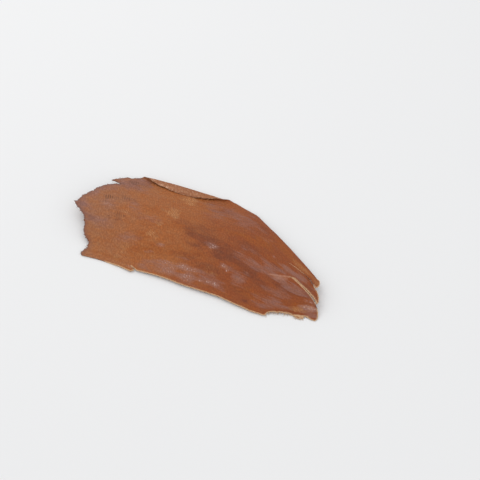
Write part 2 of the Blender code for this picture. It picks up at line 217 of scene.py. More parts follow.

# %% [markdown]
# ## Kinds of edge
#
# Dry bark tears along its fibres, so a torn edge is a row of small teeth. The
# teeth could be painted, but the outline shows against the pale floor, so
# they are real here: each point of a torn edge moves sideways, by a slow
# random wave and by teeth like those of a saw, which rise slowly and fall back
# at once.
#
# A table gives the size of both for each kind of edge. It also says how
# thick half the sheet still is there, how far the edge bulges, how much bare
# inner fibre it shows, how dark it is (dry skin on torn edges, painted shade
# by the gap between the lobes, the shut tear and the flap), how wide the bare
# strip is, and how pale its rim is.

# %% Kinds of edge
EDGE_LOOKS = ("slow", "quick", "half", "bulge", "bare", "bare_width", "dark", "rim")
EDGE_TABLE = {
    "torn": (0.3, 1.7, 0.38, 0.22, 0.0, 0.6, 1.0, 0.0),
    "splinter": (0.4, 1.0, 0.38, 0.15, 0.1, 0.6, 1.0, 0.0),
    "flap": (0.7, 0.15, 0.4, 0.2, 0.35, 0.7, 0.15, 0.2),
    "grown": (0.1, 0.05, 0.5, 0.3, 0.0, 0.5, 0.35, 0.2),
    "lobe": (0.2, 0.15, 0.42, 0.2, 0.76, 1.1, 0.0, 0.95),
    "tear": (0.08, 0.08, 0.6, 0.05, 1.0, 1.6, 0.0, 0.1),
    "tear_lip": (0.08, 0.08, 0.5, 0.05, 0.76, 1.4, 0.0, 0.1),
    "gap": (0.1, 0.3, 0.4, 0.15, 0.0, 0.6, 1.0, 0.0),
    "shut_tear": (0.05, 0.05, 0.6, 0.03, 0.4, 0.5, 0.4, 0.1),
    "frayed": (0.4, 0.9, 0.3, 0.3, 0.85, 0.75, 0.0, 1.0),
    "worn_cut": (0.1, 0.15, 0.7, 0.14, 0.4, 0.5, 0.2, 0.3),
    "cut": (0.0, 0.08, 0.8, 0.14, 0.8, 0.8, 0.0, 0.9),
}
EDGE_KINDS = {kind: dict(zip(EDGE_LOOKS, row)) for kind, row in EDGE_TABLE.items()}
KIND_NAMES = tuple(EDGE_KINDS)
print(len(KIND_NAMES), "kinds of edge:", ", ".join(KIND_NAMES))

# %% Teeth of the torn edges
BEND_POINTS = 5
TOOTH_RUN = (2, 7)
SMALLEST_TOOTH = 0.2
TOOTH_MIDDLE = 0.3
CALM_POINTS = 3


def torn(line, kind):
    """Move the inner points of a line sideways, to give it that kind of teeth."""
    along = np.gradient(line, axis=0)
    side = np.column_stack([-along[:, 1], along[:, 0]])
    side /= np.linalg.norm(side, axis=1)[:, None]
    bends = np.arange(0, len(line) + BEND_POINTS, BEND_POINTS)
    slow = chance.uniform(-1.0, 1.0, len(bends))
    every = np.arange(len(line))
    quick = []
    while len(quick) < len(line):
        tooth = chance.uniform(SMALLEST_TOOTH, 1.0)
        quick += np.linspace(0.0, tooth, chance.integers(*TOOTH_RUN)).tolist()
    shift = EDGE_KINDS[kind]["slow"] * np.interp(every, bends, slow)
    shift += EDGE_KINDS[kind]["quick"] * (np.array(quick[:len(line)]) - TOOTH_MIDDLE)
    shift *= np.minimum(np.minimum(every, every[::-1]) / CALM_POINTS, 1.0)
    return line + shift[:, None] * side


print("a tooth takes", TOOTH_RUN[0], "to", TOOTH_RUN[1] - 1, "points of the edge")

# %% [markdown]
# The stretches follow each other clockwise. Where one ends on the point at
# which the next begins, only one of the two points is kept.

# %% One closed outline
SAME_POINT = EDGE_STEP / 4

stretches = (
    (straight_runs(TORN_END_TOP), "torn"),
    (straight_runs(SPLINTER), "splinter"),
    (curve_through(SPLINTER_BACK), "splinter"),
    (curve_through(FLAP_EDGE), "flap"),
    (curve_through(FLAP_END), "grown"),
    (curve_through(FAR_EDGE), "grown"),
    (curve_through(FAR_LOBE_TIP), "lobe"),
    (curve_through(FAR_TEAR_FAR_SIDE), "shut_tear"),
    (curve_through(FAR_TEAR_NEAR_SIDE), "shut_tear"),
    (curve_through(MIDDLE_LOBE_TIP), "lobe"),
    (curve_through(NEAR_TEAR_FAR_SIDE), "tear"),
    (curve_through(NEAR_TEAR_NEAR_SIDE), "tear_lip"),
    (curve_through(NEAR_LOBE_TOP), "gap"),
    (curve_through(NEAR_LOBE_TIP), "lobe"),
    (curve_through(NEAR_LOBE_LOW_EDGE), "lobe"),
    (straight_runs(FRAYED_EDGE), "frayed"),
    (curve_through(CUT_EDGE), "cut"),
    (straight_runs(CUT_EDGE_NOTCH), "cut"),
    (curve_through(CUT_EDGE_END), "cut"),
    (curve_through(WORN_CUT_EDGE), "worn_cut"),
    (straight_runs(TORN_END_LOW), "torn"),
)
outline = []
edge_kind = []
for line, kind in stretches:
    for point in torn(line, kind):
        if not outline or math.dist(point, outline[-1]) > SAME_POINT:
            outline.append(point)
            edge_kind.append(KIND_NAMES.index(kind))
if math.dist(outline[0], outline[-1]) < SAME_POINT:
    outline.pop()
    edge_kind.pop()
outline = np.array(outline)
edge_kind = np.array(edge_kind)
print(len(outline), "points in the outline")

# %% [markdown]
# ## The arch, the lobes and the rolled edge
#
# The shape is a handful of formulas on the flat drawing. They are the ones
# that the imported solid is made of, so the two match to within a few
# millimetres, and only the tip and the end of the roll keep closer to the
# picture. A sculpted sheet would need fitting to the solid afterwards.
#
# The first formulas say where the arch begins and ends across the width.

# %% Edges of the arch
CUT_EDGE_Y = -64.0
FAR_EDGE_Y = 86.0
FAR_BEND_X = 60.0
FAR_BEND_LENGTH = 14.0
FAR_SLANT = 0.75
TIP_BEND_X = 122.0
TIP_BEND_LENGTH = 8.0
TIP_SLANT = 0.34


def smooth_step(start, end, value):
    """Return 0 before start, 1 after end and an eased ramp between them."""
    ramp = np.clip((value - start) / (end - start), 0.0, 1.0)
    return ramp * ramp * (3.0 - 2.0 * ramp)


def soft_ramp(value):
    """Return 0 well below zero and the value itself well above zero."""
    return np.logaddexp(0.0, value)


def bell(distance, width):
    return np.exp(-((distance / width) ** 2))


def far_edge_y(x):
    return FAR_EDGE_Y - FAR_SLANT * FAR_BEND_LENGTH * soft_ramp((x - FAR_BEND_X) / FAR_BEND_LENGTH)


def cut_edge_y(x):
    return CUT_EDGE_Y + TIP_SLANT * TIP_BEND_LENGTH * soft_ramp((x - TIP_BEND_X) / TIP_BEND_LENGTH)


def share_across(x, y):
    """Return -1 at the cut edge, 0 half way and 1 at the far edge."""
    far_y = far_edge_y(x)
    near_y = cut_edge_y(x)
    return (y - (far_y + near_y) / 2.0) / ((far_y - near_y) / 2.0)


print("half way along, the arch spans", round(far_edge_y(0.0) - cut_edge_y(0.0), 1), "mm")

# %% Height of the arch
THICKNESS = 1.8
ARCH_SHARE = 0.2
CUT_EDGE_LEVEL = 1.0
ROLL_EDGE_LEVEL = 0.9
FAR_EDGE_LEVEL = 0.2
FAR_LEVEL_START_X = -10.0
FAR_LEVEL_END_X = 50.0
LOWEST_ARCH = -0.2
FARTHEST_ACROSS = 1.2
CUT_BOW = 2.5
CUT_BOW_MIDDLE_X = 25.0
CUT_BOW_HALF_LENGTH = 125.0
FAR_BOW = 4.0
FAR_BOW_MIDDLE_X = -20.0
FAR_BOW_HALF_LENGTH = 130.0


def arch_height(x, y):
    """Return the height of the plain arched sheet, half way through it."""
    across = np.clip(share_across(x, y), -1.0, FARTHEST_ACROSS)
    along = smooth_step(FAR_LEVEL_START_X, FAR_LEVEL_END_X, x)
    far_level = ROLL_EDGE_LEVEL + (FAR_EDGE_LEVEL - ROLL_EDGE_LEVEL) * along
    level = np.where(across < 0.0, CUT_EDGE_LEVEL, far_level)
    arch = np.maximum((1.0 - across ** 2) * (1.0 - level * across ** 2), LOWEST_ARCH)
    share = np.minimum((across + 1.0) / 2.0, 1.0)
    cut_bow = CUT_BOW * np.maximum(1.0 - ((x - CUT_BOW_MIDDLE_X) / CUT_BOW_HALF_LENGTH) ** 2, 0.0)
    far_bow = FAR_BOW * ((x - FAR_BOW_MIDDLE_X) / FAR_BOW_HALF_LENGTH) ** 2
    half_width = (far_edge_y(x) - cut_edge_y(x)) / 2.0
    return THICKNESS / 2.0 + ARCH_SHARE * half_width * arch + (1.0 - share) * cut_bow + share * far_bow


print("the arch is", round(float(arch_height(np.array(0.0), np.array(10.0))), 1), "mm high in its middle")

# %% [markdown]
# At the tears the lobes of the tip don't lie in one surface. The near lobe
# has curled up along its tear, the middle one a little, and the far one
# stands over it. The rise fades away from each tear, like a bell curve.

# %% Lines of the tears, and the lobes between them
NEAR_TEAR_START_X = 127.5
NEAR_TEAR = (
    (92.0, -14.2), (108.9, -11.9), (127.5, -8.7), (132.5, -8.72), (137.0, -10.1), (146.5, -14.6),
    (152.5, -17.85), (157.9, -20.8), (163.0, -24.0), (167.5, -27.5), (172.0, -31.8),
)
FAR_TEAR = (
    (136.0, 8.2), (142.0, 4.75), (149.0, 0.95), (152.5, -1.75), (156.0, -4.9), (159.0, -7.6),
    (164.0, -12.0),
)
NEAR_LOBE, MIDDLE_LOBE, FAR_LOBE = range(3)


def distance_across(line, x, y):
    """Return how far a point lies on the +Y side of a line that runs along X."""
    line_x, line_y = np.array(line).T
    slope = np.diff(line_y) / np.diff(line_x)
    piece = np.minimum(np.searchsorted(line_x[1:], x), len(slope) - 1)
    over = y - line_y[piece] - slope[piece] * (x - line_x[piece])
    return over / np.hypot(1.0, slope[piece])


def lobe_of(x, y):
    """Tell which lobe a point of the flat drawing belongs to."""
    beyond = (x > FAR_TEAR[0][0]) & (distance_across(FAR_TEAR, x, y) > 0.0)
    lobe = np.where(beyond, FAR_LOBE, MIDDLE_LOBE)
    return np.where(distance_across(NEAR_TEAR, x, y) < 0.0, NEAR_LOBE, lobe)


print("the near tear and its crease run from", NEAR_TEAR[0][0], "to", NEAR_TEAR[-1][0], "mm")

# %% Height of each lobe
CREASE_START_X = 92.0
CREASE_RISE = 2.4
CREASE_FADE_START_X = 132.0
CREASE_END_X = 172.0
CREASE_WIDTH = 11.0
CREASE_STEEP_WIDTH = 3.5
CREASE_CUT_LENGTH = 14.0
MIDDLE_LOBE_RISE = 0.5
MIDDLE_LOBE_RISE_WIDTH = 8.0
MIDDLE_LOBE_START_X = 130.0
MIDDLE_LOBE_END_X = 152.0
FAR_LOBE_RISE = 1.3
FAR_LOBE_RISE_WIDTH = 12.0
FAR_LOBE_RISE_LENGTH = 20.0


def lobe_height(x, y, lobe):
    """Return how far a lobe stands above the plain arch at a tear."""
    from_near = distance_across(NEAR_TEAR, x, y)
    near_x = NEAR_TEAR_START_X
    far_x = FAR_TEAR[0][0]
    crease = CREASE_RISE * smooth_step(CREASE_START_X, near_x, x)
    crease = crease * (1.0 - smooth_step(CREASE_FADE_START_X, CREASE_END_X, x))
    near_side = crease * bell(from_near, CREASE_WIDTH)
    closed = 1.0 - smooth_step(near_x, near_x + CREASE_CUT_LENGTH, x)
    middle = MIDDLE_LOBE_RISE * smooth_step(MIDDLE_LOBE_START_X, MIDDLE_LOBE_END_X, x)
    far_side = crease * closed * bell(from_near, CREASE_STEEP_WIDTH)
    far_side = far_side + middle * bell(from_near, MIDDLE_LOBE_RISE_WIDTH)
    lift = FAR_LOBE_RISE * smooth_step(far_x, far_x + FAR_LOBE_RISE_LENGTH, x)
    lift = lift * bell(distance_across(FAR_TEAR, x, y), FAR_LOBE_RISE_WIDTH)
    return np.where(lobe == NEAR_LOBE, near_side, far_side + np.where(lobe == FAR_LOBE, lift, 0.0))


print("the middle lobe stands", MIDDLE_LOBE_RISE, "mm over the near one")

# %% [markdown]
# The sheet rests on three small worn spots, which are level. Round each of
# them the surface eases back into the arch.

# %% Worn spots that the sheet rests on
REST_SPOTS = (
    ((-98.0, -58.0), 12.0, 3.2),
    ((151.0, -48.6), 6.0, 2.8),
    ((-20.0, 79.5), 14.0, 3.2),
)
REST_FADE = 2.4
SLOPE_STEP = 0.05


def rest_reach(x, y):
    """Return how far a point lies from the nearest rest spot, 1 being its rim."""
    reaches = [
        np.hypot((x - spot_x) / half_length, (y - spot_y) / half_width)
        for (spot_x, spot_y), half_length, half_width in REST_SPOTS
    ]
    return np.minimum.reduce(reaches)


def surface_height(x, y, lobe):
    height = arch_height(x, y) + lobe_height(x, y, lobe)
    flat = 1.0 - smooth_step(1.0, REST_FADE, rest_reach(x, y))
    return height + (THICKNESS / 2.0 - height) * flat


def unit(vectors):
    return vectors / np.linalg.norm(vectors, axis=-1, keepdims=True)


def surface_normal(x, y, lobe):
    """Return the way up from the sheet, from its slope along and across."""
    h = SLOPE_STEP
    slope_x = (surface_height(x + h, y, lobe) - surface_height(x - h, y, lobe)) / (2.0 * h)
    slope_y = (surface_height(x, y + h, lobe) - surface_height(x, y - h, lobe)) / (2.0 * h)
    return unit(np.stack([-slope_x, -slope_y, np.ones_like(x)], axis=-1))


print(len(REST_SPOTS), "flat spots carry the sheet")

# %% [markdown]
# The rolled edge is the flat drawing bent round a line. Up to the line a
# point stays where it is. Past it, the point goes half way round a small
# cylinder and then runs back over the sheet. The roll fades out at both
# ends, where its radius grows until the sheet is straight again.

# %% Roll the far edge over
ROLL_START_X = -116.0
ROLL_END_X = 15.0
ROLL_LINE_START_Y = 79.5
ROLL_LINE_END_Y = 84.5
ROLL_LINE_BOW = 2.0
ROLL_RADIUS = 1.9
ROLL_FADE = 10.0
ROLL_END_FADE = 16.0
FLAP_DROP = 0.19
DRAWING_CENTRE = (3.5212, 11.5077)


def roll_line_y(x):
    """Return where the roll begins, which is an almost straight line."""
    share = np.clip((x - ROLL_START_X) / (ROLL_END_X - ROLL_START_X), 0.0, 1.0)
    bow = 4.0 * ROLL_LINE_BOW * share * (1.0 - share)
    return ROLL_LINE_START_Y + share * (ROLL_LINE_END_Y - ROLL_LINE_START_Y) + bow


def place(x, y):
    """Bend points of the flat drawing. Return their places and normals."""
    lobe = lobe_of(x, y)
    line_y = roll_line_y(x)
    past = y - line_y
    fade = smooth_step(ROLL_START_X - ROLL_FADE, ROLL_START_X, x)
    fade = fade * (1.0 - smooth_step(ROLL_END_X - ROLL_END_FADE, ROLL_END_X, x))
    rolled = (past > 0.0) & (fade > 0.0)
    base_y = np.where(rolled, line_y, y)
    start = np.stack([x, base_y, surface_height(x, base_y, lobe)], axis=-1)
    normal = surface_normal(x, base_y, lobe)
    radius = ROLL_RADIUS / np.where(rolled, fade, 1.0)
    turn = np.where(rolled, np.minimum(past / radius, math.pi), 0.0)
    straight = np.where(rolled, past - turn * radius, 0.0)
    outward = unit(np.stack([np.zeros_like(x), normal[:, 2], -normal[:, 1]], axis=-1))
    sine = np.sin(turn)[:, None]
    cosine = np.cos(turn)[:, None]
    point = start + radius[:, None] * (sine * outward + (1.0 - cosine) * normal)
    point = point + straight[:, None] * (cosine * outward + (sine - FLAP_DROP) * normal)
    point = point - np.array([DRAWING_CENTRE[0], DRAWING_CENTRE[1], 0.0])
    return point, cosine * normal - sine * outward


flap_y = roll_line_y(0.0) + 16.0
landed, facing = place(np.array([0.0]), np.array([flap_y]))
print("a point 16 mm past the roll's start lands at", landed.round(1).tolist())
print("and its skin now faces", facing.round(1).tolist())

# %% [markdown]
# ## Filling the outline
#
# The inside could be filled by a remesh, but then the edge would lose its
# teeth. Instead, rows of points about a millimetre apart fill the outline,
# and one call joins all points into triangles that respect the outline. The
# rows stand closer together in the roll, where the sheet bends sharply.

# %% Points inside the outline
FILL_STEP = 1.15
ROW_RATIO = math.sqrt(0.75)
FILL_CLEARANCE = 0.55
ROLL_ROW_STEP = 0.5
ROLL_ALONG_STEP = 1.4
ROLL_BELT = (-1.5, 7.0)


def inside(points, edge):
    """Tell which points lie inside a closed line, by counting its crossings."""
    odd = np.zeros(len(points), bool)
    x, y = points.T
    for (x0, y0), (x1, y1) in zip(edge, np.roll(edge, -1, axis=0)):
        spans = (y0 > y) != (y1 > y)
        if spans.any():
            odd[spans] ^= x[spans] < x0 + (y[spans] - y0) / (y1 - y0) * (x1 - x0)
    return odd


def distance_to_line(points, starts, ends):
    """Return each point's distance to the nearest of the given short pieces."""
    nearest = np.full(len(points), np.inf)
    for a, b in zip(starts, ends):
        run = b - a
        share = np.clip((points - a) @ run / (run @ run), 0.0, 1.0)
        nearest = np.minimum(nearest, np.linalg.norm(points - a - share[:, None] * run, axis=1))
    return nearest


def rows_of_points(low, high, step_x, step_y):
    """Return rows of points in which every other row is shifted by half a step."""
    ys = np.arange(low[1], high[1], step_y)
    xs = np.arange(low[0], high[0], step_x)
    shift = (np.arange(len(ys)) % 2) * step_x / 2.0
    place_x = xs[None, :] + shift[:, None]
    place_y = np.repeat(ys[:, None], len(xs), axis=1)
    return np.stack([place_x, place_y], axis=-1).reshape(-1, 2)


grid = rows_of_points(outline.min(0), outline.max(0), FILL_STEP, FILL_STEP * ROW_RATIO)
past_line = grid[:, 1] - roll_line_y(grid[:, 0])
in_roll = (grid[:, 0] > ROLL_START_X) & (grid[:, 0] < ROLL_END_X)
in_roll &= (past_line > ROLL_BELT[0]) & (past_line < ROLL_BELT[1])
belt_low = (ROLL_START_X, ROLL_BELT[0])
belt_high = (ROLL_END_X, ROLL_BELT[1])
belt = rows_of_points(belt_low, belt_high, ROLL_ALONG_STEP, ROLL_ROW_STEP)
belt[:, 1] += roll_line_y(belt[:, 0])
fill = np.vstack([grid[~in_roll], belt])
fill = fill[inside(fill, outline)]
ends = np.roll(outline, -1, axis=0)
fill = fill[distance_to_line(fill, outline, ends) > FILL_CLEARANCE]
print(len(fill), "points inside the outline")

# %% Triangles between the points
INSIDE_ONLY = 1
JOIN_WITHIN = 1e-5

flat_points = np.vstack([outline, fill])
rim = [(k, (k + 1) % len(outline)) for k in range(len(outline))]
joined = delaunay_2d_cdt([Vector(p) for p in flat_points], rim, [], INSIDE_ONLY, JOIN_WITHIN)
origins = [origin[0] for origin in joined[3]]
flat = np.array(joined[0])
triangles = np.array(joined[2])
at = {origin: k for k, origin in enumerate(origins)}
rim_points = np.array([at[k] for k in range(len(outline))])
corners = flat[triangles]
area = np.cross(corners[:, 1] - corners[:, 0], corners[:, 2] - corners[:, 0]).sum() / 2.0
print(len(triangles), "triangles on each face,", round(abs(area) / 100.0), "square centimetres")

# %% [markdown]
# ## Relief
#
# Dry bark is never quite smooth. It buckles a little as it dries, ridges
# follow its fibres, there are shallow dents, and a groove runs back from the
# far tear. Modifiers could displace it, but the amounts have to fade out at
# the rest spots and at thin edges, so they are added here, point by point.
# What bends the sheet moves both faces. What is only skin deep moves one.
#
# Each wave is (length, width, seed), along the grain and across it.

# %% Distances that shape the edges
THINNING_WIDTH = 4.0

edge_distance = {}
for index, kind in enumerate(KIND_NAMES):
    own = edge_kind == index
    edge_distance[kind] = distance_to_line(flat, outline[own], ends[own])
any_edge = np.minimum.reduce(list(edge_distance.values()))
half_thickness = np.full(len(flat), THICKNESS / 2.0)
for kind, looks in EDGE_KINDS.items():
    inward = smooth_step(0.0, THINNING_WIDTH, edge_distance[kind])
    thin = looks["half"] + (THICKNESS / 2.0 - looks["half"]) * inward
    half_thickness = np.minimum(half_thickness, thin)
print("the thinnest edge is", round(2.0 * half_thickness.min(), 2), "mm thick")

# %% Random waves along the grain
BUCKLE = 0.42
PLEAT = 0.3
PLEAT_REACH = 26.0
RIDGE = 0.07
RIDGE_LENGTH = 60.0
RIDGE_WIDTH = 3.4
RIDGE_FADE = 2.0
INNER_RIDGE = 0.13
GRAIN_HALF_WIDTH = 75.0
REST_SETTLE = 3.5
WAVES = {
    "buckle": (46.0, 19.0, 1.7),
    "pleat": (400.0, 8.0, 5.3),
    "ridge": (RIDGE_LENGTH, RIDGE_WIDTH, 9.1),
    "inner ridge": (RIDGE_LENGTH * 1.6, RIDGE_WIDTH * 0.7, 13.9),
    "wobble": (18.0, 7.0, 31.7),
}

x, y = flat.T
grain_y = share_across(x, y) * GRAIN_HALF_WIDTH


def wave(name):
    """Return smooth random waves that run along the grain, from -1 to 1."""
    length, width, seed = WAVES[name]
    return np.array([noise.noise(Vector((a / length, b / width, seed))) for a, b in zip(x, grain_y)])


print("the waves of the ridges are", RIDGE_LENGTH, "mm long and", RIDGE_WIDTH, "mm wide")

# %% Buckles, ridges, dents and the groove
DENTS = (
    ((-139.0, -13.0), 9.0, 6.0, 0.9), ((-112.0, 2.0), 16.0, 10.0, 0.35),
    ((98.0, -25.0), 22.0, 7.0, 0.5),
)
GROOVE_LINE = ((113.0, 14.8), (121.9, 12.6), (127.9, 10.8), (136.0, 7.9), (141.1, 5.3))
GROOVE_DEPTH = 0.3
GROOVE_WIDTH = 0.7

settled = smooth_step(1.0, REST_SETTLE, rest_reach(x, y))
bend = BUCKLE * wave("buckle")
bend += PLEAT * wave("pleat") * (1.0 - smooth_step(0.0, PLEAT_REACH, edge_distance["torn"]))
for (dent_x, dent_y), half_length, half_width, depth in DENTS:
    bend -= depth * bell(np.hypot((x - dent_x) / half_length, (y - dent_y) / half_width), 1.0)
bend *= settled
groove = np.array(GROOVE_LINE)
from_groove = distance_to_line(flat, groove[:-1], groove[1:])
outer = RIDGE * wave("ridge") * smooth_step(0.0, RIDGE_FADE, any_edge)
outer -= GROOVE_DEPTH * bell(from_groove, GROOVE_WIDTH)
inner = INNER_RIDGE * wave("inner ridge") * settled
print("the sheet buckles by", round(float(np.ptp(bend)), 2), "mm in all")

# %% Both faces of the sheet
middle, normal = place(x, y)
middle = middle + bend[:, None] * normal
top = middle + (half_thickness + outer)[:, None] * normal
bottom = middle - (half_thickness + inner)[:, None] * normal
sunk = np.maximum(-np.minimum(top[:, 2], bottom[:, 2]), 0.0)
top[:, 2] += sunk
bottom[:, 2] += sunk
print("points that sank into the floor are lifted by", round(float(sunk.max()), 3), "mm at most")

# %% [markdown]
# ## The rim
#
# The edge of a sheet this thin still catches the light, and on the cut side
# it shows as a pale line. A plain wall between the faces would look like
# card. So the rim has three more rows of points that bulge a little, and
# they are rough where fibres were torn.

# %% Rows round the edge
RIM_ROWS = ((0.55, 0.75), (0.0, 1.0), (-0.55, 0.75))
RIM_ROUGHNESS = 0.45

rim_middle = (top[rim_points] + bottom[rim_points]) / 2.0
rim_up = (top[rim_points] - bottom[rim_points]) / 2.0
rim_along = np.roll(rim_middle, -1, axis=0) - np.roll(rim_middle, 1, axis=0)
rim_out = unit(np.cross(rim_up, rim_along))
drawn_area = np.cross(outline, ends).sum() / 2.0
if drawn_area > 0.0:
    rim_out = -rim_out
bulge = np.array([EDGE_KINDS[KIND_NAMES[k]]["bulge"] for k in edge_kind])
rim_rows = []
for height, reach in RIM_ROWS:
    rough = 1.0 + RIM_ROUGHNESS * chance.uniform(-1.0, 1.0, len(outline))
    row = rim_middle + height * rim_up + (reach * bulge * rough)[:, None] * rim_out
    row[:, 2] = np.maximum(row[:, 2], 0.0)
    rim_rows.append(row)
print(len(RIM_ROWS), "rows of", len(outline), "points round the rim")

# %% [markdown]
# Both faces and the rows of the rim become one closed mesh. The lower face
# has the same triangles, turned over. Each face of the mesh remembers which
# side it is on, for the materials.

# %% One mesh from faces and rim
TOP_FACE, UNDER_FACE, RIM_FACE = range(3)

count = len(flat)
points = np.vstack([top, bottom] + rim_rows) * MM
loops = [rim_points]
for row in range(len(RIM_ROWS)):
    loops.append(2 * count + row * len(outline) + np.arange(len(outline)))
loops.append(count + rim_points)
faces = [tuple(face) for face in triangles.tolist()]
faces += [tuple(count + k for k in reversed(face)) for face in triangles.tolist()]
sides = [TOP_FACE] * len(triangles) + [UNDER_FACE] * len(triangles)
for upper, lower in zip(loops, loops[1:]):
    for a, b, c, d in zip(upper, lower, np.roll(lower, -1), np.roll(upper, -1)):
        faces.append((int(a), int(b), int(c), int(d)))
        sides.append(RIM_FACE)
sheet_mesh = bpy.data.meshes.new("dressed_sheet")
sheet_mesh.from_pydata(points.tolist(), [], faces)
sheet_mesh.polygons.foreach_set("material_index", sides)
tidy = bmesh.new()
tidy.from_mesh(sheet_mesh)
bmesh.ops.recalc_face_normals(tidy, faces=tidy.faces)
tidy.to_mesh(sheet_mesh)
tidy.free()
sheet = add_object("dressed_sheet", sheet_mesh)
print(sum(len(face) - 2 for face in faces), "triangles in the dressed sheet")

# %% [markdown]
# ## Where the marks are
#
# Age, damp and handling leave marks on the skin. The broad ones are dark
# clouds, golden bands and a mauve bloom, which is partly wax and partly
# painted sheen. Two small dark spots at the start of the roll are painted
# shadow. Painting them on an image would fix their size and resolution.
# Here each mark is a soft spot with a name and a place in the drawing,
# kept as a number per point of the mesh. The materials later break these
# soft spots up with fine noise.
#
# Each spot is (x, y, half length, half width, strength), and it follows the
# grain, which runs closer together towards the tip.

# %% Broad marks of the skin
DARK_CLOUDS = (
    (-30, 23, 20, 6, 0.25), (-12, 19, 20, 8, 0.3), (2, 15, 20, 10, 0.35), (15, 8, 24, 14, 0.4),
    (28, 0, 24, 10, 0.45), (42, -6, 24, 9, 0.5), (56, -10, 20, 6, 0.5), (70, -15, 20, 5, 0.4),
    (85, -21, 20, 6, 0.6), (98, -28, 20, 8, 0.5), (128, -24, 28, 10, 0.6), (88, -54.5, 6, 3, 1),
    (70, 54, 10, 5, 0.5), (68, 14, 24, 7, 0.45), (14, 66, 20, 8, 0.4), (-108, 73, 14, 6, 0.5),
    (-120, 62, 12, 6, 0.4), (112, -3, 16, 6, 0.35), (0, -22, 20, 6, 0.35), (30, -30, 20, 6, 0.4),
    (74, -44, 14, 5, 0.35), (11, 1, 12, 6, 0.4), (34, -6, 9, 5, 0.5), (43, -10, 9, 5, 0.4),
    (-109.3, 2.9, 2, 1.6, 0.8), (-118, -4.1, 1.8, 1.6, 0.85), (-115.6, -7.4, 1.6, 1.4, 0.6),
    (-106.6, -6.2, 2.4, 1.7, 0.8), (-118.2, 1.8, 1.7, 1.3, 0.55), (-116.7, 8, 2.2, 1.3, 0.5),
    (-103, -3.5, 2, 1.4, 0.45), (-111.5, -2, 1.7, 1.3, 0.5), (-99.5, 3, 1.8, 1.4, 0.5),
    # The spots at x -100 and -104.5 are painted shadow beside the start of the rolled edge.
    (152, -12.5, 11, 4.5, 0.5), (-100, 76.5, 4.5, 2.6, 1), (-104.5, 80, 4, 2.4, 1),
    (-118, 62, 14, 7, 0.7),
)
# The bloom is partly the wax bloom of the skin and partly painted sheen.
BLOOM_AND_SHEEN = (
    (-5, 72, 22, 10, 0.4), (22, 66, 24, 10, 0.45), (45, 58, 22, 8, 0.35), (65, 52, 18, 6, 0.35),
    (58, 43, 18, 5, 0.25), (5, 50, 20, 8, 0.3), (-45, -50, 14, 8, 0.5), (-22, -46, 20, 10, 0.55),
    (3, -38, 18, 8, 0.5), (8, -50, 20, 10, 0.6), (34, -45, 24, 8, 0.75), (70, -33, 12, 7, 0.6),
    (50, -22, 14, 5, 0.6), (-38, -20, 8, 4, 0.4), (24, 0, 12, 5, 0.6), (76, -5, 24, 8, 0.55),
    (100, -2, 20, 6, 0.7), (125, 1, 16, 8, 1), (141, -3.5, 12, 7.5, 0.95), (72, 11, 20, 5, 0.35),
    (-160, 0, 14, 12, 0.9), (-152, 25, 9, 16, 0.8), (-142, 42, 12, 9, 0.7), (-128, 63, 18, 9, 0.9),
    (-108, 74, 16, 8, 0.8), (-137, -14, 12, 7, 0.6), (-120, -16, 20, 8, 0.35), (-125, 14, 18, 10, 0.35),
    (-105, 58, 16, 9, 0.5), (-85, -24, 16, 7, 0.5), (163, -37, 12, 14, 1), (171, -43, 9, 9, 1),
    (131, -46, 18, 6, 0.8), (108, -54, 14, 5, 0.6), (118, -16, 20, 6, 0.9), (142, -22, 16, 8, 0.9),
    (122, -33, 22, 9, 0.6), (-64, 12, 16, 6, 0.35), (-95, 20, 16, 8, 0.4), (68, -27, 16, 6, 0.5),
    (118, -43, 14, 7, 0.5),
)
GOLD = (
    (-28, 14, 22, 7, 0.7), (-50, 4, 22, 8, 0.5), (-62, -10, 20, 10, 0.5), (55, 30, 22, 7, 0.95),
    (76, 33, 18, 7, 0.9), (25, 30, 22, 7, 0.5), (113, 27, 24, 9, 0.95), (136, 14, 20, 9, 1),
    (148, 6, 16, 7, 0.9), (95, 43, 18, 6, 0.7), (-40, -28, 20, 8, 0.6), (-8, -20, 22, 6, 0.6),
    (14, -17, 18, 5, 0.5), (85, -44, 26, 8, 0.6), (98, -60, 18, 4, 0.7), (-68, -36, 16, 9, 0.5),
    (56, -56, 26, 4, 0.5), (149, -38, 9, 7, 0.9), (-76, 26, 24, 8, 0.4), (100, 8, 24, 4, 0.5),
    (66, -16, 16, 4, 0.5),
)
print(len(DARK_CLOUDS), "dark clouds,", len(BLOOM_AND_SHEEN), "spots of bloom and", len(GOLD), "of gold")

# %% [markdown]
# The small marks are ochre patches, scuffs, ticks and strokes; the ochre
# patches are dry skin, but one on the tip is painted light. Two more kinds
# are a faint print of the net and three lines of painted highlight, each
# with a width and a strength, which follow the crease and the tears.

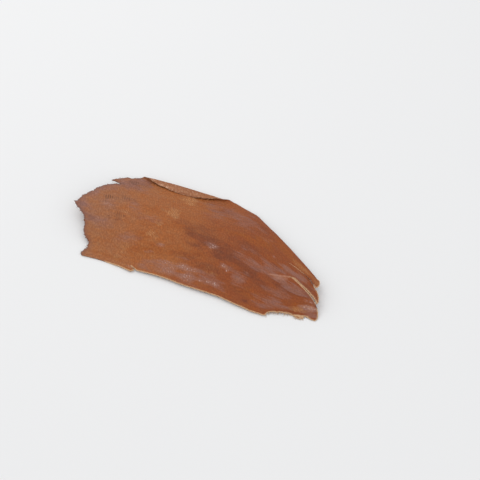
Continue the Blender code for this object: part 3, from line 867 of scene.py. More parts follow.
# %% Small marks of the skin
OCHRE = (
    (-42, 67, 13, 8, 1), (-33, 63, 9, 8, 1), (-46, 31, 8, 7, 0.95), (-38, 25, 6, 5, 0.9),
    (-84, 64, 16, 8, 0.45), (-60, 60, 16, 10, 0.5), (-52, 7, 4, 5, 0.8), (-57, -8, 7, 6, 0.8),
    (-49, -13, 5, 5, 0.7), (-80, -36, 9, 9, 0.6), (-84, -54, 10, 9, 0.65), (-110, -50, 18, 12, 0.4),
    (-122, -34, 14, 12, 0.4), (-44, -35, 10, 8, 0.4), (34, -33, 12, 6, 0.4), (150, -42, 12, 6, 1),
    # The spot at x 148, y 8 is painted light, which lightens the far lobe's slope that the lamps leave
    # darker.
    (-100, 42, 20, 10, 0.3), (148, 8, 16, 7, 0.5), (160, -2, 8, 8, 1), (143, 8, 9, 5, 0.5),
    (131, 16, 18, 7, 0.6),
)
SCUFFS = (
    (27.7, -0.1, 3, 2.4, 1), (22.4, -2.6, 5.5, 4, 0.75), (46.5, -21, 4.5, 2.8, 0.95),
    (53, -25.8, 4.5, 2.8, 0.9), (10, -49, 12, 7, 0.5), (26.5, -48, 5, 3, 0.9), (37, -46.3, 4, 2.6, 1),
    (45, -46.6, 5, 2.6, 0.85), (-18, -43, 14, 9, 0.4), (3, -37, 9, 5, 0.55), (16, -38, 7, 4, 0.5),
    (99, 14, 4, 3, 0.7), (77, -4, 16, 6, 0.2), (165, -36, 11, 9, 0.85), (160, -30, 8, 5, 0.6),
    (-37, -20, 4, 3, 0.35), (-126, 11.2, 8, 2.6, 0.4), (70, -33, 8, 5, 0.25),
)
TICKS = (
    (-134, 23, 7, 5, 1), (-131, 24, 6, 4.4, 1), (-122, 26, 8, 5, 0.5), (-108, 32, 12, 3.8, 0.38),
    (-118, 65.5, 10, 3.6, 0.9), (-106, 66, 9, 3.2, 0.7), (-108, 2, 10, 7, 0.45),
)
STROKES = (
    (-101.5, 10.5, 7, 4.5, 1), (-40, 66, 11, 6, 1), (-34, 60, 7, 6, 0.9), (-47, 30, 7, 7, 0.9),
    (-39, 25, 5, 4, 0.8), (-57, -10, 7, 6, 0.7), (-52, 6, 4, 5, 0.5), (-80, -36, 10, 9, 0.3),
    (-74, -48, 12, 8, 0.45), (49, -23, 8, 4, 0.5), (-12, -40, 14, 9, 0.35), (151, -43, 9, 5, 0.9),
    (165, -35, 11, 10, 0.9), (-90, 80, 12, 4, 0.4),
)
NET_PRINT = (
    (-125, 38, 34, 26, 0.8), (-110, 52, 34, 22, 0.7), (-112, -2, 32, 24, 0.8), (-50, 45, 34, 30, 0.8),
    (-70, -48, 34, 16, 0.8), (-105, -28, 34, 20, 0.6), (5, 45, 40, 30, 0.45), (60, 30, 30, 16, 0.35),
    (-20, -20, 50, 30, 0.5),
)
HIGHLIGHT_LINES = (
    (((98.0, -14.4), (104.0, -13.6), (112.0, -12.6), (120.0, -11.0), (127.5, -9.2)), 1.0, 1.0),
    (((104.0, -17.0), (115.0, -15.2), (124.0, -12.8)), 2.6, 0.55),
    (((156.0, -25.0), (163.0, -29.0), (169.0, -35.0)), 0.9, 0.5),
)
print(len(OCHRE), "ochre patches,", len(SCUFFS), "scuffs and", len(HIGHLIGHT_LINES), "lines")

# %% Marks as numbers on the mesh
SPOT_CORE = 0.2
SPOT_REACH = 1.35
SPOT_WOBBLE = 0.9
LINE_FADE = 10.0
SHOWS = 0.3


def painted(spots):
    """Return one number per point: how much of the given spots covers it."""
    left = np.ones(len(flat))
    for spot_x, spot_y, half_length, half_width, strength in spots:
        across = grain_y - share_across(spot_x, spot_y) * GRAIN_HALF_WIDTH
        reach = np.hypot((x - spot_x) / half_length, across / half_width) * wobble
        left *= 1.0 - strength * (1.0 - smooth_step(SPOT_CORE, SPOT_REACH, reach))
    return 1.0 - left


def percent_shown(cover):
    """Return for how many points in a hundred a mark shows clearly."""
    return round(100.0 * float((cover > SHOWS).mean()), 1)


def near_edge(distance, width):
    """Return 1 at distance 0 and 0.5 at the given width, as a straight ramp."""
    return np.clip(1.0 - 0.5 * distance / width, 0.0, 1.0)


def traced(lines):
    """Return one number per point: how near it lies to the given lines."""
    cover = np.zeros(len(flat))
    for line_points, width, strength in lines:
        line = curve_through(line_points)
        fade_in = smooth_step(line[0, 0], line[0, 0] + LINE_FADE, x)
        distance = distance_to_line(flat, line[:-1], line[1:])
        cover = np.maximum(cover, strength * fade_in * near_edge(distance, width))
    return cover


SPOTS = {
    "cloud": DARK_CLOUDS, "bloom_and_sheen": BLOOM_AND_SHEEN, "gold": GOLD, "ochre": OCHRE,
    "scuff": SCUFFS, "ticks": TICKS, "strokes": STROKES, "net_print": NET_PRINT,
}
wobble = 1.0 + SPOT_WOBBLE * wave("wobble")
marks = {name: painted(spots) for name, spots in SPOTS.items()}
# The crease mark is painted highlight along the crease and the near lobe's edge.
marks["crease"] = traced(HIGHLIGHT_LINES)
for name, cover in marks.items():
    print(name, "covers", percent_shown(cover), "% of the sheet")

# %% [markdown]
# The edges have marks of their own. Bare fibre shows along the tears, the
# cuts and the groove, and in a few frayed patches. The skin is dark along
# the torn end and the splinter, where it dried, and in three dimples near
# the torn end. By the gap between the lobes, the shut tear and the flap's
# edge the dark is painted shade, and the far edge and the worn cut darken a
# little. A tear opens slowly, so its bare strip starts narrow.

# %% Marks of the edges
DARK_BANDS = ((5.0, 0.65), (0.9, 0.6))
DIMPLES = ((-138.5, -13.5, 6, 4.6, 0.85), (-160, -1, 8, 5, 0.6), (-131, -17, 7, 4, 0.35))
GROOVE_BARE = 0.7
GROOVE_BARE_WIDTH = 0.6
MOST_BARE = 0.76
TEAR_WIDENS = 7.0
LEAST_TEAR_WIDTH = 0.2
FRAYED_PATCHES = ((151, -49.4, 9, 4, 0.75), (158, -48.6, 6, 3.8, 0.75), (143, -48.6, 6, 1.8, 0.6))
FLAP_PATCHES = ((-84, 93.2, 7, 2.4, 0.7), (-76, 95, 6, 2.6, 0.75), (-97, 88, 5, 2, 0.35))

# The frayed and flap patches stay below the strength at which the painted shade of the seam begins.
bare = np.minimum(painted(FRAYED_PATCHES + FLAP_PATCHES), MOST_BARE)
groove_fade = smooth_step(GROOVE_LINE[0][0], GROOVE_LINE[0][0] + LINE_FADE, x)
bare = np.maximum(bare, GROOVE_BARE * groove_fade * near_edge(from_groove, GROOVE_BARE_WIDTH))
dark = painted(DIMPLES)
rim_pale = np.zeros(len(flat))
opened = np.clip((x - NEAR_TEAR_START_X) / TEAR_WIDENS, LEAST_TEAR_WIDTH, 1.0)
for index, (kind, looks) in enumerate(EDGE_KINDS.items()):
    width = looks["bare_width"] * (opened if kind in ("tear", "tear_lip") else 1.0)
    bare = np.maximum(bare, looks["bare"] * near_edge(edge_distance[kind], width))
    # Dark bands: dry skin at the torn end, painted shade by the gap, the shut tear and the flap's edge.
    band = sum(share * bell(edge_distance[kind], reach) for reach, share in DARK_BANDS)
    dark = np.maximum(dark, looks["dark"] * np.minimum(band, 1.0))
    rim_pale[rim_points[edge_kind == index]] = looks["rim"]
marks["rim_pale"] = rim_pale
marks["bare"] = bare
marks["dark_skin_and_edge_shade"] = dark
print("bare fibre covers", percent_shown(bare), "% of the sheet")

# %% Keep the marks on the mesh
SHARP_ANGLE = math.radians(42.0)


def keep_on(mesh, name, values):
    """Keep one number per point on a mesh."""
    kept = mesh.attributes.new(name, "FLOAT", "POINT")
    kept.data.foreach_set("value", np.asarray(values, np.float32))


whole_sheet = np.concatenate([np.arange(count), np.arange(count)] + [rim_points] * len(RIM_ROWS))
for name, cover in marks.items():
    keep_on(sheet_mesh, name, cover[whole_sheet])
grain_place = np.column_stack([x, grain_y, np.zeros(count)])[whole_sheet]
kept_place = sheet_mesh.attributes.new("grain_place", "FLOAT_VECTOR", "POINT")
kept_place.data.foreach_set("vector", grain_place.astype(np.float32).ravel())
sheet_mesh.shade_smooth()
sheet_mesh.set_sharp_from_angle(angle=SHARP_ANGLE)
print("kept on each point of the mesh:", ", ".join(marks), "and its place along the grain")

# %% [markdown]
# ## Torn fibres
#
# Where the sheet was torn, single fibres stick out of the edge. Hair curves
# would be the quick way, but they are lost when the part is exported. So
# each fibre is a thin tapered tube of its own, with five sides and six
# rings, and all of them make one mesh.
#
# Each kind of edge has (share of its points with a fibre, length, thickness,
# tone, lean, start below the middle of the rim). A pair is a range.

# %% Fibres and the tube that each of them is
FIBRE_SIDES = 5
FIBRE_RINGS = 6
FIBRE_START_INSIDE = 0.8
FIBRES = {
    "torn": (0.3, (0.8, 2.4), (0.12, 0.24), (0.0, 0.3), 0.9, 0.0),
    "splinter": (0.25, (1.2, 3.2), (0.13, 0.24), (0.0, 0.3), 0.9, 0.0),
    "flap": (0.2, (0.8, 2.2), (0.1, 0.2), (0.4, 1.0), 0.9, 0.0),
    "tear": (0.4, (0.7, 2.0), (0.12, 0.24), (0.0, 0.8), 0.9, 0.4),
    "tear_lip": (0.3, (0.6, 1.4), (0.1, 0.2), (0.0, 0.6), 0.9, 0.4),
    "gap": (0.4, (0.7, 2.0), (0.12, 0.24), (0.0, 0.4), 0.9, 0.4),
    "shut_tear": (0.4, (0.4, 1.0), (0.14, 0.26), (0.0, 0.1), 0.5, 0.6),
    "frayed": (0.9, (1.4, 4.0), (0.16, 0.32), (0.6, 1.0), -0.5, 0.0),
    "lobe": (0.12, (0.8, 2.0), (0.1, 0.2), (0.3, 1.0), 0.9, 0.0),
    "cut": (0.02, (0.8, 1.8), (0.1, 0.16), (0.4, 1.0), 0.9, 0.0),
}
LEAST_LEAN = 0.2
SPREAD = 0.22
CURL = 0.18
DROOP = 0.22
TAPER = 0.75
TAPER_POWER = 1.5
FIBRE_CLEAR = 0.15
TUBE_SIDE = (0.13, 0.31, 0.94)


def tube(path, radii):
    """Return the points and faces of a tube round a path, closed at both ends."""
    heading = unit(np.gradient(path, axis=0))
    side = unit(np.cross(heading, TUBE_SIDE))
    other = np.cross(heading, side)
    angle = 2.0 * math.pi * np.arange(FIBRE_SIDES) / FIBRE_SIDES
    ring = np.cos(angle)[:, None] * side[:, None] + np.sin(angle)[:, None] * other[:, None]
    points = (path[:, None] + radii[:, None, None] * ring).reshape(-1, 3)
    faces = []
    for row in range(len(path) - 1):
        for k in range(FIBRE_SIDES):
            a = row * FIBRE_SIDES + k
            b = row * FIBRE_SIDES + (k + 1) % FIBRE_SIDES
            faces.append((a, b, b + FIBRE_SIDES, a + FIBRE_SIDES))
    faces.append(tuple(reversed(range(FIBRE_SIDES))))
    faces.append(tuple(range(len(points) - FIBRE_SIDES, len(points))))
    return points, faces


print("fibres grow on", len(FIBRES), "kinds of edge")

# %% [markdown]
# Fibres leave the rim, lean along the grain and droop a little. The root
# of each starts inside the sheet, so that no gap shows.

# %% Fibres at the torn edges
fibre_points = []
fibre_faces = []
fibre_tone = []
share = np.linspace(0.0, 1.0, FIBRE_RINGS)
grain_way = np.where(rim_middle[:, :1] < 0.0, -1.0, 1.0) * np.array([1.0, 0.0, 0.0])
for k, kind_index in enumerate(edge_kind):
    kind = KIND_NAMES[kind_index]
    if kind not in FIBRES:
        continue
    grown_share, lengths, widths, tones, lean, low = FIBRES[kind]
    if chance.random() > grown_share:
        continue
    length = chance.uniform(*lengths)
    thick = chance.uniform(*widths)
    lean *= chance.uniform(LEAST_LEAN, 1.0)
    way = unit(rim_out[k] + lean * grain_way[k] + chance.normal(0.0, SPREAD, 3))
    root = rim_middle[k] - FIBRE_START_INSIDE * rim_out[k] - low * rim_up[k]
    path = root + np.outer(share, way) * (length + FIBRE_START_INSIDE)
    path = path + np.outer(share ** 2, chance.normal(0.0, CURL, 3)) * length
    path[:, 2] -= DROOP * length * share ** 2
    path[:, 2] = np.maximum(path[:, 2], thick + FIBRE_CLEAR)
    radii = thick * (1.0 - TAPER * share ** TAPER_POWER)
    tube_points, tube_faces = tube(path, radii)
    fibre_faces += [tuple(corner + len(fibre_points) for corner in face) for face in tube_faces]
    fibre_points += tube_points.tolist()
    fibre_tone += [chance.uniform(*tones)] * len(tube_points)
fibre_mesh = bpy.data.meshes.new("torn_fibres")
fibre_mesh.from_pydata((np.array(fibre_points) * MM).tolist(), [], fibre_faces)
keep_on(fibre_mesh, "tone", fibre_tone)
fibre_mesh.shade_smooth()
fibres = add_object("torn_fibres", fibre_mesh)
print(len(fibre_points) // (FIBRE_SIDES * FIBRE_RINGS), "torn fibres")

# %% [markdown]
# ## Building node trees
#
# A material is a small graph of nodes. Made by hand it is quick to draw but
# hard to repeat, so a few helpers add a node, join it and return its
# output. An effect that several materials share becomes a node group with
# named inputs and outputs.

# %% Helpers for single nodes
def set_inputs(tree, sockets, values):
    """Join sockets to other nodes' outputs, or give them plain values."""
    for name, value in values.items():
        if isinstance(value, bpy.types.NodeSocket):
            tree.links.new(value, sockets[name])
        else:
            sockets[name].default_value = value


def node_of(tree, kind, values, **settings):
    """Add a shader node with its settings and input values. Return its outputs."""
    node = tree.nodes.new("ShaderNode" + kind)
    for name, setting in settings.items():
        setattr(node, name, setting)
    set_inputs(tree, node.inputs, values)
    return node.outputs


def math_of(tree, operation, *values):
    """Add a Math node and return its result."""
    return node_of(tree, "Math", dict(enumerate(values)), operation=operation)[0]


def plus(tree, first, second):
    return math_of(tree, "ADD", first, second)


def minus(tree, first, second):
    return math_of(tree, "SUBTRACT", first, second)


def times(tree, first, second):
    return math_of(tree, "MULTIPLY", first, second)


def vector_of(tree, x, y, z=1.0):
    return node_of(tree, "CombineXYZ", {0: x, 1: y, 2: z})[0]


def parts_of(tree, place):
    return node_of(tree, "SeparateXYZ", {0: place})


def turned_by(tree, place, angle):
    """Turn a place round the up direction."""
    return node_of(tree, "VectorRotate", {"Vector": place, "Angle": angle}, rotation_type="Z_AXIS")[0]


print("helpers for single nodes are ready")

# %% Helpers for patterns, colours and groups
def noise_of(tree, place, size, detail=2.0, rough=0.5):
    """Add noise, from 0 to 1, with details of a size along, across and in depth."""
    scaled = node_of(tree, "VectorMath", {0: place, 1: size}, operation="DIVIDE")[0]
    settings = {"Vector": scaled, "Scale": 1.0, "Detail": detail, "Roughness": rough}
    return node_of(tree, "TexNoise", settings)[0]


def swing_of(tree, place, size, detail=1.0, rough=0.5):
    """Add noise that swings round zero, from -0.5 to 0.5."""
    return minus(tree, noise_of(tree, place, size, detail, rough), 0.5)


def ramp_of(tree, value, start, end, low=0.0, high=1.0):
    """Ease a value from low to high while it goes from start to end."""
    limits = {"Value": value, "From Min": start, "From Max": end, "To Min": low, "To Max": high}
    return node_of(tree, "MapRange", limits, interpolation_type="SMOOTHSTEP")["Result"]


def mix_of(tree, share, first, second, blend="MIX"):
    """Mix two colours by a share and return the result."""
    values = {"Factor": share, 6: first, 7: second}
    return node_of(tree, "Mix", values, data_type="RGBA", blend_type=blend)[2]


def layered(tree, color, layers):
    """Lay tones over a colour, one by one. Each is (where, strength, tone)."""
    for where, strength, tone in layers:
        color = mix_of(tree, times(tree, where, strength), color, tone)
    return color


def attribute_of(tree, name, output="Fac"):
    """Read a number or a vector that was kept on the mesh."""
    return node_of(tree, "Attribute", {}, attribute_name=name)[output]


def start_group(name, inputs, outputs):
    """Make a node group for a place and numbers. Return its tree and both ends."""
    tree = bpy.data.node_groups.new(name, "ShaderNodeTree")
    tree.interface.new_socket("Place", in_out="INPUT", socket_type="NodeSocketVector")
    for label, default in inputs.items():
        socket = tree.interface.new_socket(label, in_out="INPUT", socket_type="NodeSocketFloat")
        socket.default_value = default
    for label in outputs:
        tree.interface.new_socket(label, in_out="OUTPUT", socket_type="NodeSocketFloat")
    return tree, tree.nodes.new("NodeGroupInput").outputs, tree.nodes.new("NodeGroupOutput").inputs


def use_group(tree, group, place, **values):
    """Place a group in a tree and return its outputs."""
    return node_of(tree, "Group", {"Place": place, **values}, node_tree=group)


print("helpers for patterns, colours and groups are ready")

# %% [markdown]
# ## Grain
#
# The fibres of the leaf base run along the sheet, side by side. They show
# as streaks of colour, and finer ones as lines that can be felt. A Wave
# Texture is too regular for that. Noise that is stretched along the grain
# and pressed together across it gives streaks that begin and end anywhere.
# A slow noise first bends the place a little, so that no streak is straight.

# %% Grain group
SWAY_SIZE = (55.0, 30.0, 10.0)
STREAK_SIZE = (1.0, 1.0, 1.0)
LINE_SIZE = (0.5, 0.4, 1.0)
LINE_SHARE = 0.7
STREAK_RAMP = (0.3, 0.7)
LINE_RAMP = (0.34, 0.66)

grain_group, given, result = start_group(
    "bark grain", {"Run": 40.0, "Width": 3.0, "Bend": 1.5}, ("Streak", "Line", "Height")
)
tree = grain_group
sway = times(tree, swing_of(tree, given["Place"], SWAY_SIZE), given["Bend"])
start = parts_of(tree, given["Place"])
along = math_of(tree, "DIVIDE", start[0], given["Run"])
across = math_of(tree, "DIVIDE", plus(tree, start[1], sway), given["Width"])
bent_place = vector_of(tree, along, across, 0.0)
streak = noise_of(tree, bent_place, STREAK_SIZE, detail=3.0, rough=0.55)
fine = noise_of(tree, bent_place, LINE_SIZE, detail=3.0, rough=0.65)
set_inputs(tree, result, {
    "Streak": ramp_of(tree, streak, *STREAK_RAMP),
    "Line": ramp_of(tree, fine, *LINE_RAMP),
    "Height": plus(tree, times(tree, fine, LINE_SHARE), times(tree, streak, 1.0 - LINE_SHARE)),
})
print("grain group has", len(tree.nodes), "nodes")

# %% [markdown]
# ## Ragged marks
#
# The marks on the mesh are soft spots. On real bark a scuff or a stain has
# a ragged edge and gaps, where the tool or the damp didn't reach. This group
# adds fine noise to a soft spot and cuts it off, so that the spot's middle
# is nearly whole and its rim falls apart into flecks.

# %% Ragged mark group
HALF = 0.5
FAINTEST = 0.25

ragged_group, given, result = start_group(
    "ragged mark",
    {"Mark": 0.0, "Run": 3.0, "Width": 1.5, "Turn": 0.0, "Ragged": 0.8, "Soft": 0.2},
    ("Mark",),
)
tree = ragged_group
turned = turned_by(tree, given["Place"], given["Turn"])
flecks = swing_of(tree, turned, vector_of(tree, given["Run"], given["Width"]), detail=3.0, rough=0.6)
jitter = times(tree, times(tree, flecks, given["Ragged"]), 2.0)
noisy = plus(tree, given["Mark"], jitter)
cut_off = ramp_of(tree, noisy, minus(tree, HALF, given["Soft"]), plus(tree, HALF, given["Soft"]))
present = ramp_of(tree, given["Mark"], 0.0, FAINTEST)
set_inputs(tree, result, {"Mark": times(tree, cut_off, present)})
print("ragged mark group has", len(tree.nodes), "nodes")

# %% [markdown]
# ## Print of the fibre net
#
# Inside the sheet lies a net of fibres, and where it pressed against the
# skin it left short slanted lines. Noise alone is too irregular for a net. A
# sine of the place gives even lines, a slow noise bends them, and a second
# noise breaks them into pieces. Wide, the lines are the faint print of the
# net. Narrow and steep, they are rows of dark ticks or pale strokes.

# %% Net print group
FULL_TURN = 2.0 * math.pi
NET_SWAY_SIZE = (16.0, 12.0, 9.0)
PIECE_WIDTH = 3.6
CREST_RAMP = (-0.3, 0.9)
PIECE_RAMP = (-0.1, 0.1)

net_group, given, result = start_group(
    "net print",
    {"Spacing": 3.0, "Piece": 8.0, "Turn": -0.45, "Sway": 3.0, "Gaps": 0.5},
    ("Lines",),
)
tree = net_group
turned = turned_by(tree, given["Place"], given["Turn"])
sway = times(tree, swing_of(tree, given["Place"], NET_SWAY_SIZE), given["Sway"])
steps = math_of(tree, "DIVIDE", parts_of(tree, turned)[0], given["Spacing"])
crests = math_of(tree, "SINE", times(tree, plus(tree, steps, sway), FULL_TURN))
pieces = noise_of(tree, turned, vector_of(tree, PIECE_WIDTH, given["Piece"]))
unbroken = ramp_of(tree, minus(tree, pieces, given["Gaps"]), *PIECE_RAMP)
set_inputs(tree, result, {"Lines": times(tree, ramp_of(tree, crests, *CREST_RAMP), unbroken)})
print("net print group has", len(tree.nodes), "nodes")

# %% [markdown]
# ## Tones and the parts of a material
#
# A few tones are shared by the materials. The helpers start a material, read
# a mark with its ragged edge, and turn a height into a bump. Two bumps can
# lie one over the other.

# %% Tones and helpers for materials
TAN = (0.400, 0.159, 0.065, 1.0)
AMBER = (0.420, 0.134, 0.031, 1.0)
RUSSET = (0.325, 0.081, 0.017, 1.0)
CLOUD = (0.165, 0.042, 0.018, 1.0)
WAX_AND_SHEEN_MAUVE = (0.352, 0.162, 0.114, 1.0)
RICH_GOLD = (0.375, 0.096, 0.010, 1.0)
OCHRE_TONE = (0.460, 0.190, 0.062, 1.0)
PALE_OCHRE = (0.640, 0.310, 0.130, 1.0)
CHALK = (0.600, 0.430, 0.380, 1.0)
CREASE_HIGHLIGHT = (0.480, 0.235, 0.150, 1.0)
STRAW = (0.620, 0.390, 0.220, 1.0)
PURPLE_BROWN = (0.130, 0.058, 0.050, 1.0)
TICK_BROWN = (0.130, 0.048, 0.022, 1.0)
SEAM_SHADE = (0.060, 0.020, 0.012, 1.0)
WARMER = (1.02, 0.96, 0.85, 1.0)
COOLER = (0.98, 1.05, 1.20, 1.0)
DARKER = (0.66, 0.60, 0.58, 1.0)


def start_material(name, gloss):
    """Make a material. Return it with its tree and its shader's inputs."""
    material = bpy.data.materials.new(name)
    material.use_nodes = True
    shader = material.node_tree.nodes["Principled BSDF"].inputs
    shader["Specular IOR Level"].default_value = gloss
    return material, material.node_tree, shader


def ragged_mark(tree, place, name, share, run, width, turn, ragged, soft):
    """Read a mark from the mesh, weaken it by a share and give it a ragged edge."""
    mark = times(tree, attribute_of(tree, name), share)
    return use_group(
        tree, ragged_group, place, Mark=mark, Run=run, Width=width, Turn=turn, Ragged=ragged, Soft=soft
    )["Mark"]


def bump_of(tree, height, size, **below):
    """Turn a height into a normal. Its size is metres of height, and a strength."""
    values = {"Distance": size[0], "Strength": size[1], "Height": height, **below}
    return node_of(tree, "Bump", values)[0]


print("helpers for materials are ready")

# %% [markdown]
# ## The outer skin
#
# The outside of the sheet is smooth and slightly waxy, red-brown with
# orange and dark streaks. One base colour with noise on top looks like
# clay, so the colour is built in layers: a base that is paler tan at the
# torn end and deeper russet towards the tip, with its streaks, then stains
# and a bloom that is partly wax and partly painted sheen, then what handling
# scraped off. Wax is smooth, and scraped skin is rough.
#
# Each ragged mark is (share, run, width, turn, ragged, soft).

# %% Outer skin material
RAGGED_MARKS = {
    "cloud": (1.0, 16.0, 4.0, 0.0, 0.6, 0.75),
    "bloom_and_sheen": (1.0, 15.0, 1.8, 0.0, 0.9, 0.6),
    "gold": (1.0, 30.0, 1.7, 0.0, 0.9, 0.6),
    "ochre": (0.8, 1.8, 5.0, -0.9, 1.0, 0.4),
    "scuff": (0.3, 1.5, 2.4, -1.0, 2.0, 0.12),
    "bare": (1.0, 1.8, 0.8, 0.0, 0.9, 0.2),
    "dark_skin_and_edge_shade": (1.0, 3.0, 3.0, 0.0, 0.5, 0.5),
    "crease": (1.0, 4.0, 0.8, 0.0, 0.8, 0.5),
}
BLOTCH_SIZE = (44.0, 20.0, 9.0)
DRIFT = 130.0
TAN_TO_AMBER = (-150.0, -50.0)
AMBER_TO_RUSSET = (-50.0, 60.0)
SKIN_GLOSS = 0.26

skin, tree, shader = start_material("outer skin", SKIN_GLOSS)
spot = attribute_of(tree, "grain_place", "Vector")
from_middle = parts_of(tree, spot)[0]
drift = times(tree, swing_of(tree, spot, BLOTCH_SIZE, detail=2.0), DRIFT)
station = plus(tree, from_middle, drift)
# The base colour runs from paler tan at the torn end to deeper russet at the tip.
color = mix_of(tree, ramp_of(tree, station, *TAN_TO_AMBER), TAN, AMBER)
color = mix_of(tree, ramp_of(tree, station, *AMBER_TO_RUSSET), color, RUSSET)
marked = {name: ragged_mark(tree, spot, name, *look) for name, look in RAGGED_MARKS.items()}
color = layered(tree, color, (
    (marked["gold"], 0.85, RICH_GOLD),
    (marked["cloud"], 0.72, CLOUD),
    (marked["bloom_and_sheen"], 0.8, WAX_AND_SHEEN_MAUVE),
    (marked["ochre"], 0.75, OCHRE_TONE),
))
print("outer skin so far:", len(tree.nodes), "nodes")

# %% [markdown]
# Over these tones go the fine patterns, all of them faint: patches that lean
# to orange or to mauve, small flecks, streaks along the grain that grow
# stronger towards the tip, and the print of the net.

# %% Fine patterns of the outer skin
NET_TURN = -0.45
TINT_SIZE = (9.0, 4.5, 9.0)
MOTTLE_SIZE = (2.2, 5.5, 9.0)
FLECK_SIZE = (1.9, 2.8, 9.0)
CHIP_SIZE = (2.4, 1.5, 9.0)
TIPWARD = (-70.0, 90.0, 0.3, 1.0)

grain = use_group(tree, grain_group, spot, Run=40.0, Width=3.2, Bend=5.0)
tipward = ramp_of(tree, from_middle, *TIPWARD)
slanted = turned_by(tree, spot, NET_TURN)
tint = noise_of(tree, spot, TINT_SIZE, detail=3.0)
mottle = noise_of(tree, slanted, MOTTLE_SIZE, detail=3.0, rough=0.6)
fleck = noise_of(tree, slanted, FLECK_SIZE, rough=0.6)
chips = noise_of(tree, slanted, CHIP_SIZE, rough=0.6)
wide = use_group(tree, net_group, spot)
steep = use_group(tree, net_group, spot, Spacing=2.7, Piece=9.6, Turn=-0.39, Sway=0.8, Gaps=0.4)
leaning = use_group(tree, net_group, spot, Spacing=2.3, Piece=4.0, Turn=-1.0, Sway=4.0, Gaps=0.42)
net_lines = times(tree, wide["Lines"], attribute_of(tree, "net_print"))
ticks = times(tree, steep["Lines"], ramp_of(tree, chips, 0.26, 0.5))
ticks = times(tree, ticks, attribute_of(tree, "ticks"))
strokes = times(tree, leaning["Lines"], ramp_of(tree, chips, 0.36, 0.58))
strokes = times(tree, strokes, attribute_of(tree, "strokes"))
print("outer skin with its patterns:", len(tree.nodes), "nodes")

# %% [markdown]
# Now each pattern darkens or lightens the colour where it shows. On top lie
# the dark edges, which are dry skin at the torn end and painted shade by the
# gap between the lobes and the shut tear, then ticks, strokes and scuffs,
# the crease's painted highlight and bare fibre, with a dark seam of painted
# shade where the bare fibre is strongest, mostly in the widest tear.

# %% Colour of the outer skin
warm = mix_of(tree, 1.0, color, WARMER, "MULTIPLY")
cool = mix_of(tree, 1.0, color, COOLER, "MULTIPLY")
color = mix_of(tree, ramp_of(tree, tint, 0.32, 0.68), warm, cool)
shade = mix_of(tree, 1.0, color, DARKER, "MULTIPLY")
# The darkest line is dry skin along the torn end and painted shade along the gap between the lobes.
darkest_edge_line = ramp_of(tree, attribute_of(tree, "dark_skin_and_edge_shade"), 0.86, 0.98)
# The seam is painted shade: a dark line where the bare fibre is strongest, mostly deep in the widest
# tear.
seam_shade_where = ramp_of(tree, attribute_of(tree, "bare"), 0.77, 0.9)
color = layered(tree, color, (
    (ramp_of(tree, mottle, 0.3, 0.7), 0.42, shade),
    (ramp_of(tree, fleck, 0.36, 0.64), 0.95, shade),
    (times(tree, grain["Streak"], tipward), 0.3, shade),
    (times(tree, grain["Line"], tipward), 0.45, shade),
    (net_lines, 0.9, shade),
    (marked["dark_skin_and_edge_shade"], 0.42, PURPLE_BROWN),
    (darkest_edge_line, 0.7, PURPLE_BROWN),
    (ramp_of(tree, ticks, 0.05, 0.6), 0.9, TICK_BROWN),
    (ramp_of(tree, strokes, 0.05, 0.7), 0.5, PALE_OCHRE),
    (attribute_of(tree, "scuff"), 0.09, CHALK),
    (marked["scuff"], 0.7, CHALK),
    # Painted highlight along the crease.
    (marked["crease"], 0.6, CREASE_HIGHLIGHT),
    (marked["bare"], 0.9, STRAW),
    (times(tree, seam_shade_where, ramp_of(tree, chips, 0.38, 0.54)), 0.85, SEAM_SHADE),
))
print("layers are on,", len(tree.nodes), "nodes")

# %% Gloss and relief of the outer skin
WAX_ROUGHNESS = 0.52
MOTTLE_ROUGHNESS = 0.12
WORN_ROUGHNESS = 0.3
NET_DEPTH = 0.5
GRAIN_BUMP = (0.0003, 0.7)
TICK_BUMP = (0.00025, 0.8)
BARE_BUMP = (0.0002, 0.6)

worn = math_of(tree, "MAXIMUM", marked["scuff"], marked["bare"])
waxy = plus(tree, WAX_ROUGHNESS, times(tree, mottle, MOTTLE_ROUGHNESS))
height = minus(tree, grain["Height"], times(tree, net_lines, NET_DEPTH))
grain_bump = bump_of(tree, height, GRAIN_BUMP)
tick_bump = bump_of(tree, minus(tree, 1.0, ticks), TICK_BUMP, Normal=grain_bump)
set_inputs(tree, shader, {
    "Base Color": color,
    "Roughness": plus(tree, waxy, times(tree, worn, WORN_ROUGHNESS)),
    "Normal": bump_of(tree, marked["bare"], BARE_BUMP, Normal=tick_bump),
})
print("outer skin has", len(tree.nodes), "nodes")

# %% [markdown]
# ## The inner face
#
# The inside of the sheet never had a waxy skin. It is dull and paler, and
# its fibres stand out as fine ribs. It shows under the arch and on top of
# the rolled edge. The same grain group does it, with narrower lines and a
# stronger bump.

# %% Inner face material
INNER_DEEP = (0.270, 0.098, 0.044, 1.0)
INNER_PALE = (0.420, 0.178, 0.088, 1.0)
INNER_STRAW = (0.540, 0.275, 0.135, 1.0)
PINK_FIBRE = (0.640, 0.400, 0.270, 1.0)
SPECK_SIZE = (1.8, 5.0, 9.0)
SHRED_SIZE = (1.2, 4.5, 9.0)
SPECK_TURN = 0.9
SHRED_TURN = 0.5
INNER_GLOSS = 0.25
INNER_ROUGHNESS = 0.68
RIB_ROUGHNESS = 0.15
RIB_BUMP = (0.0005, 0.8)

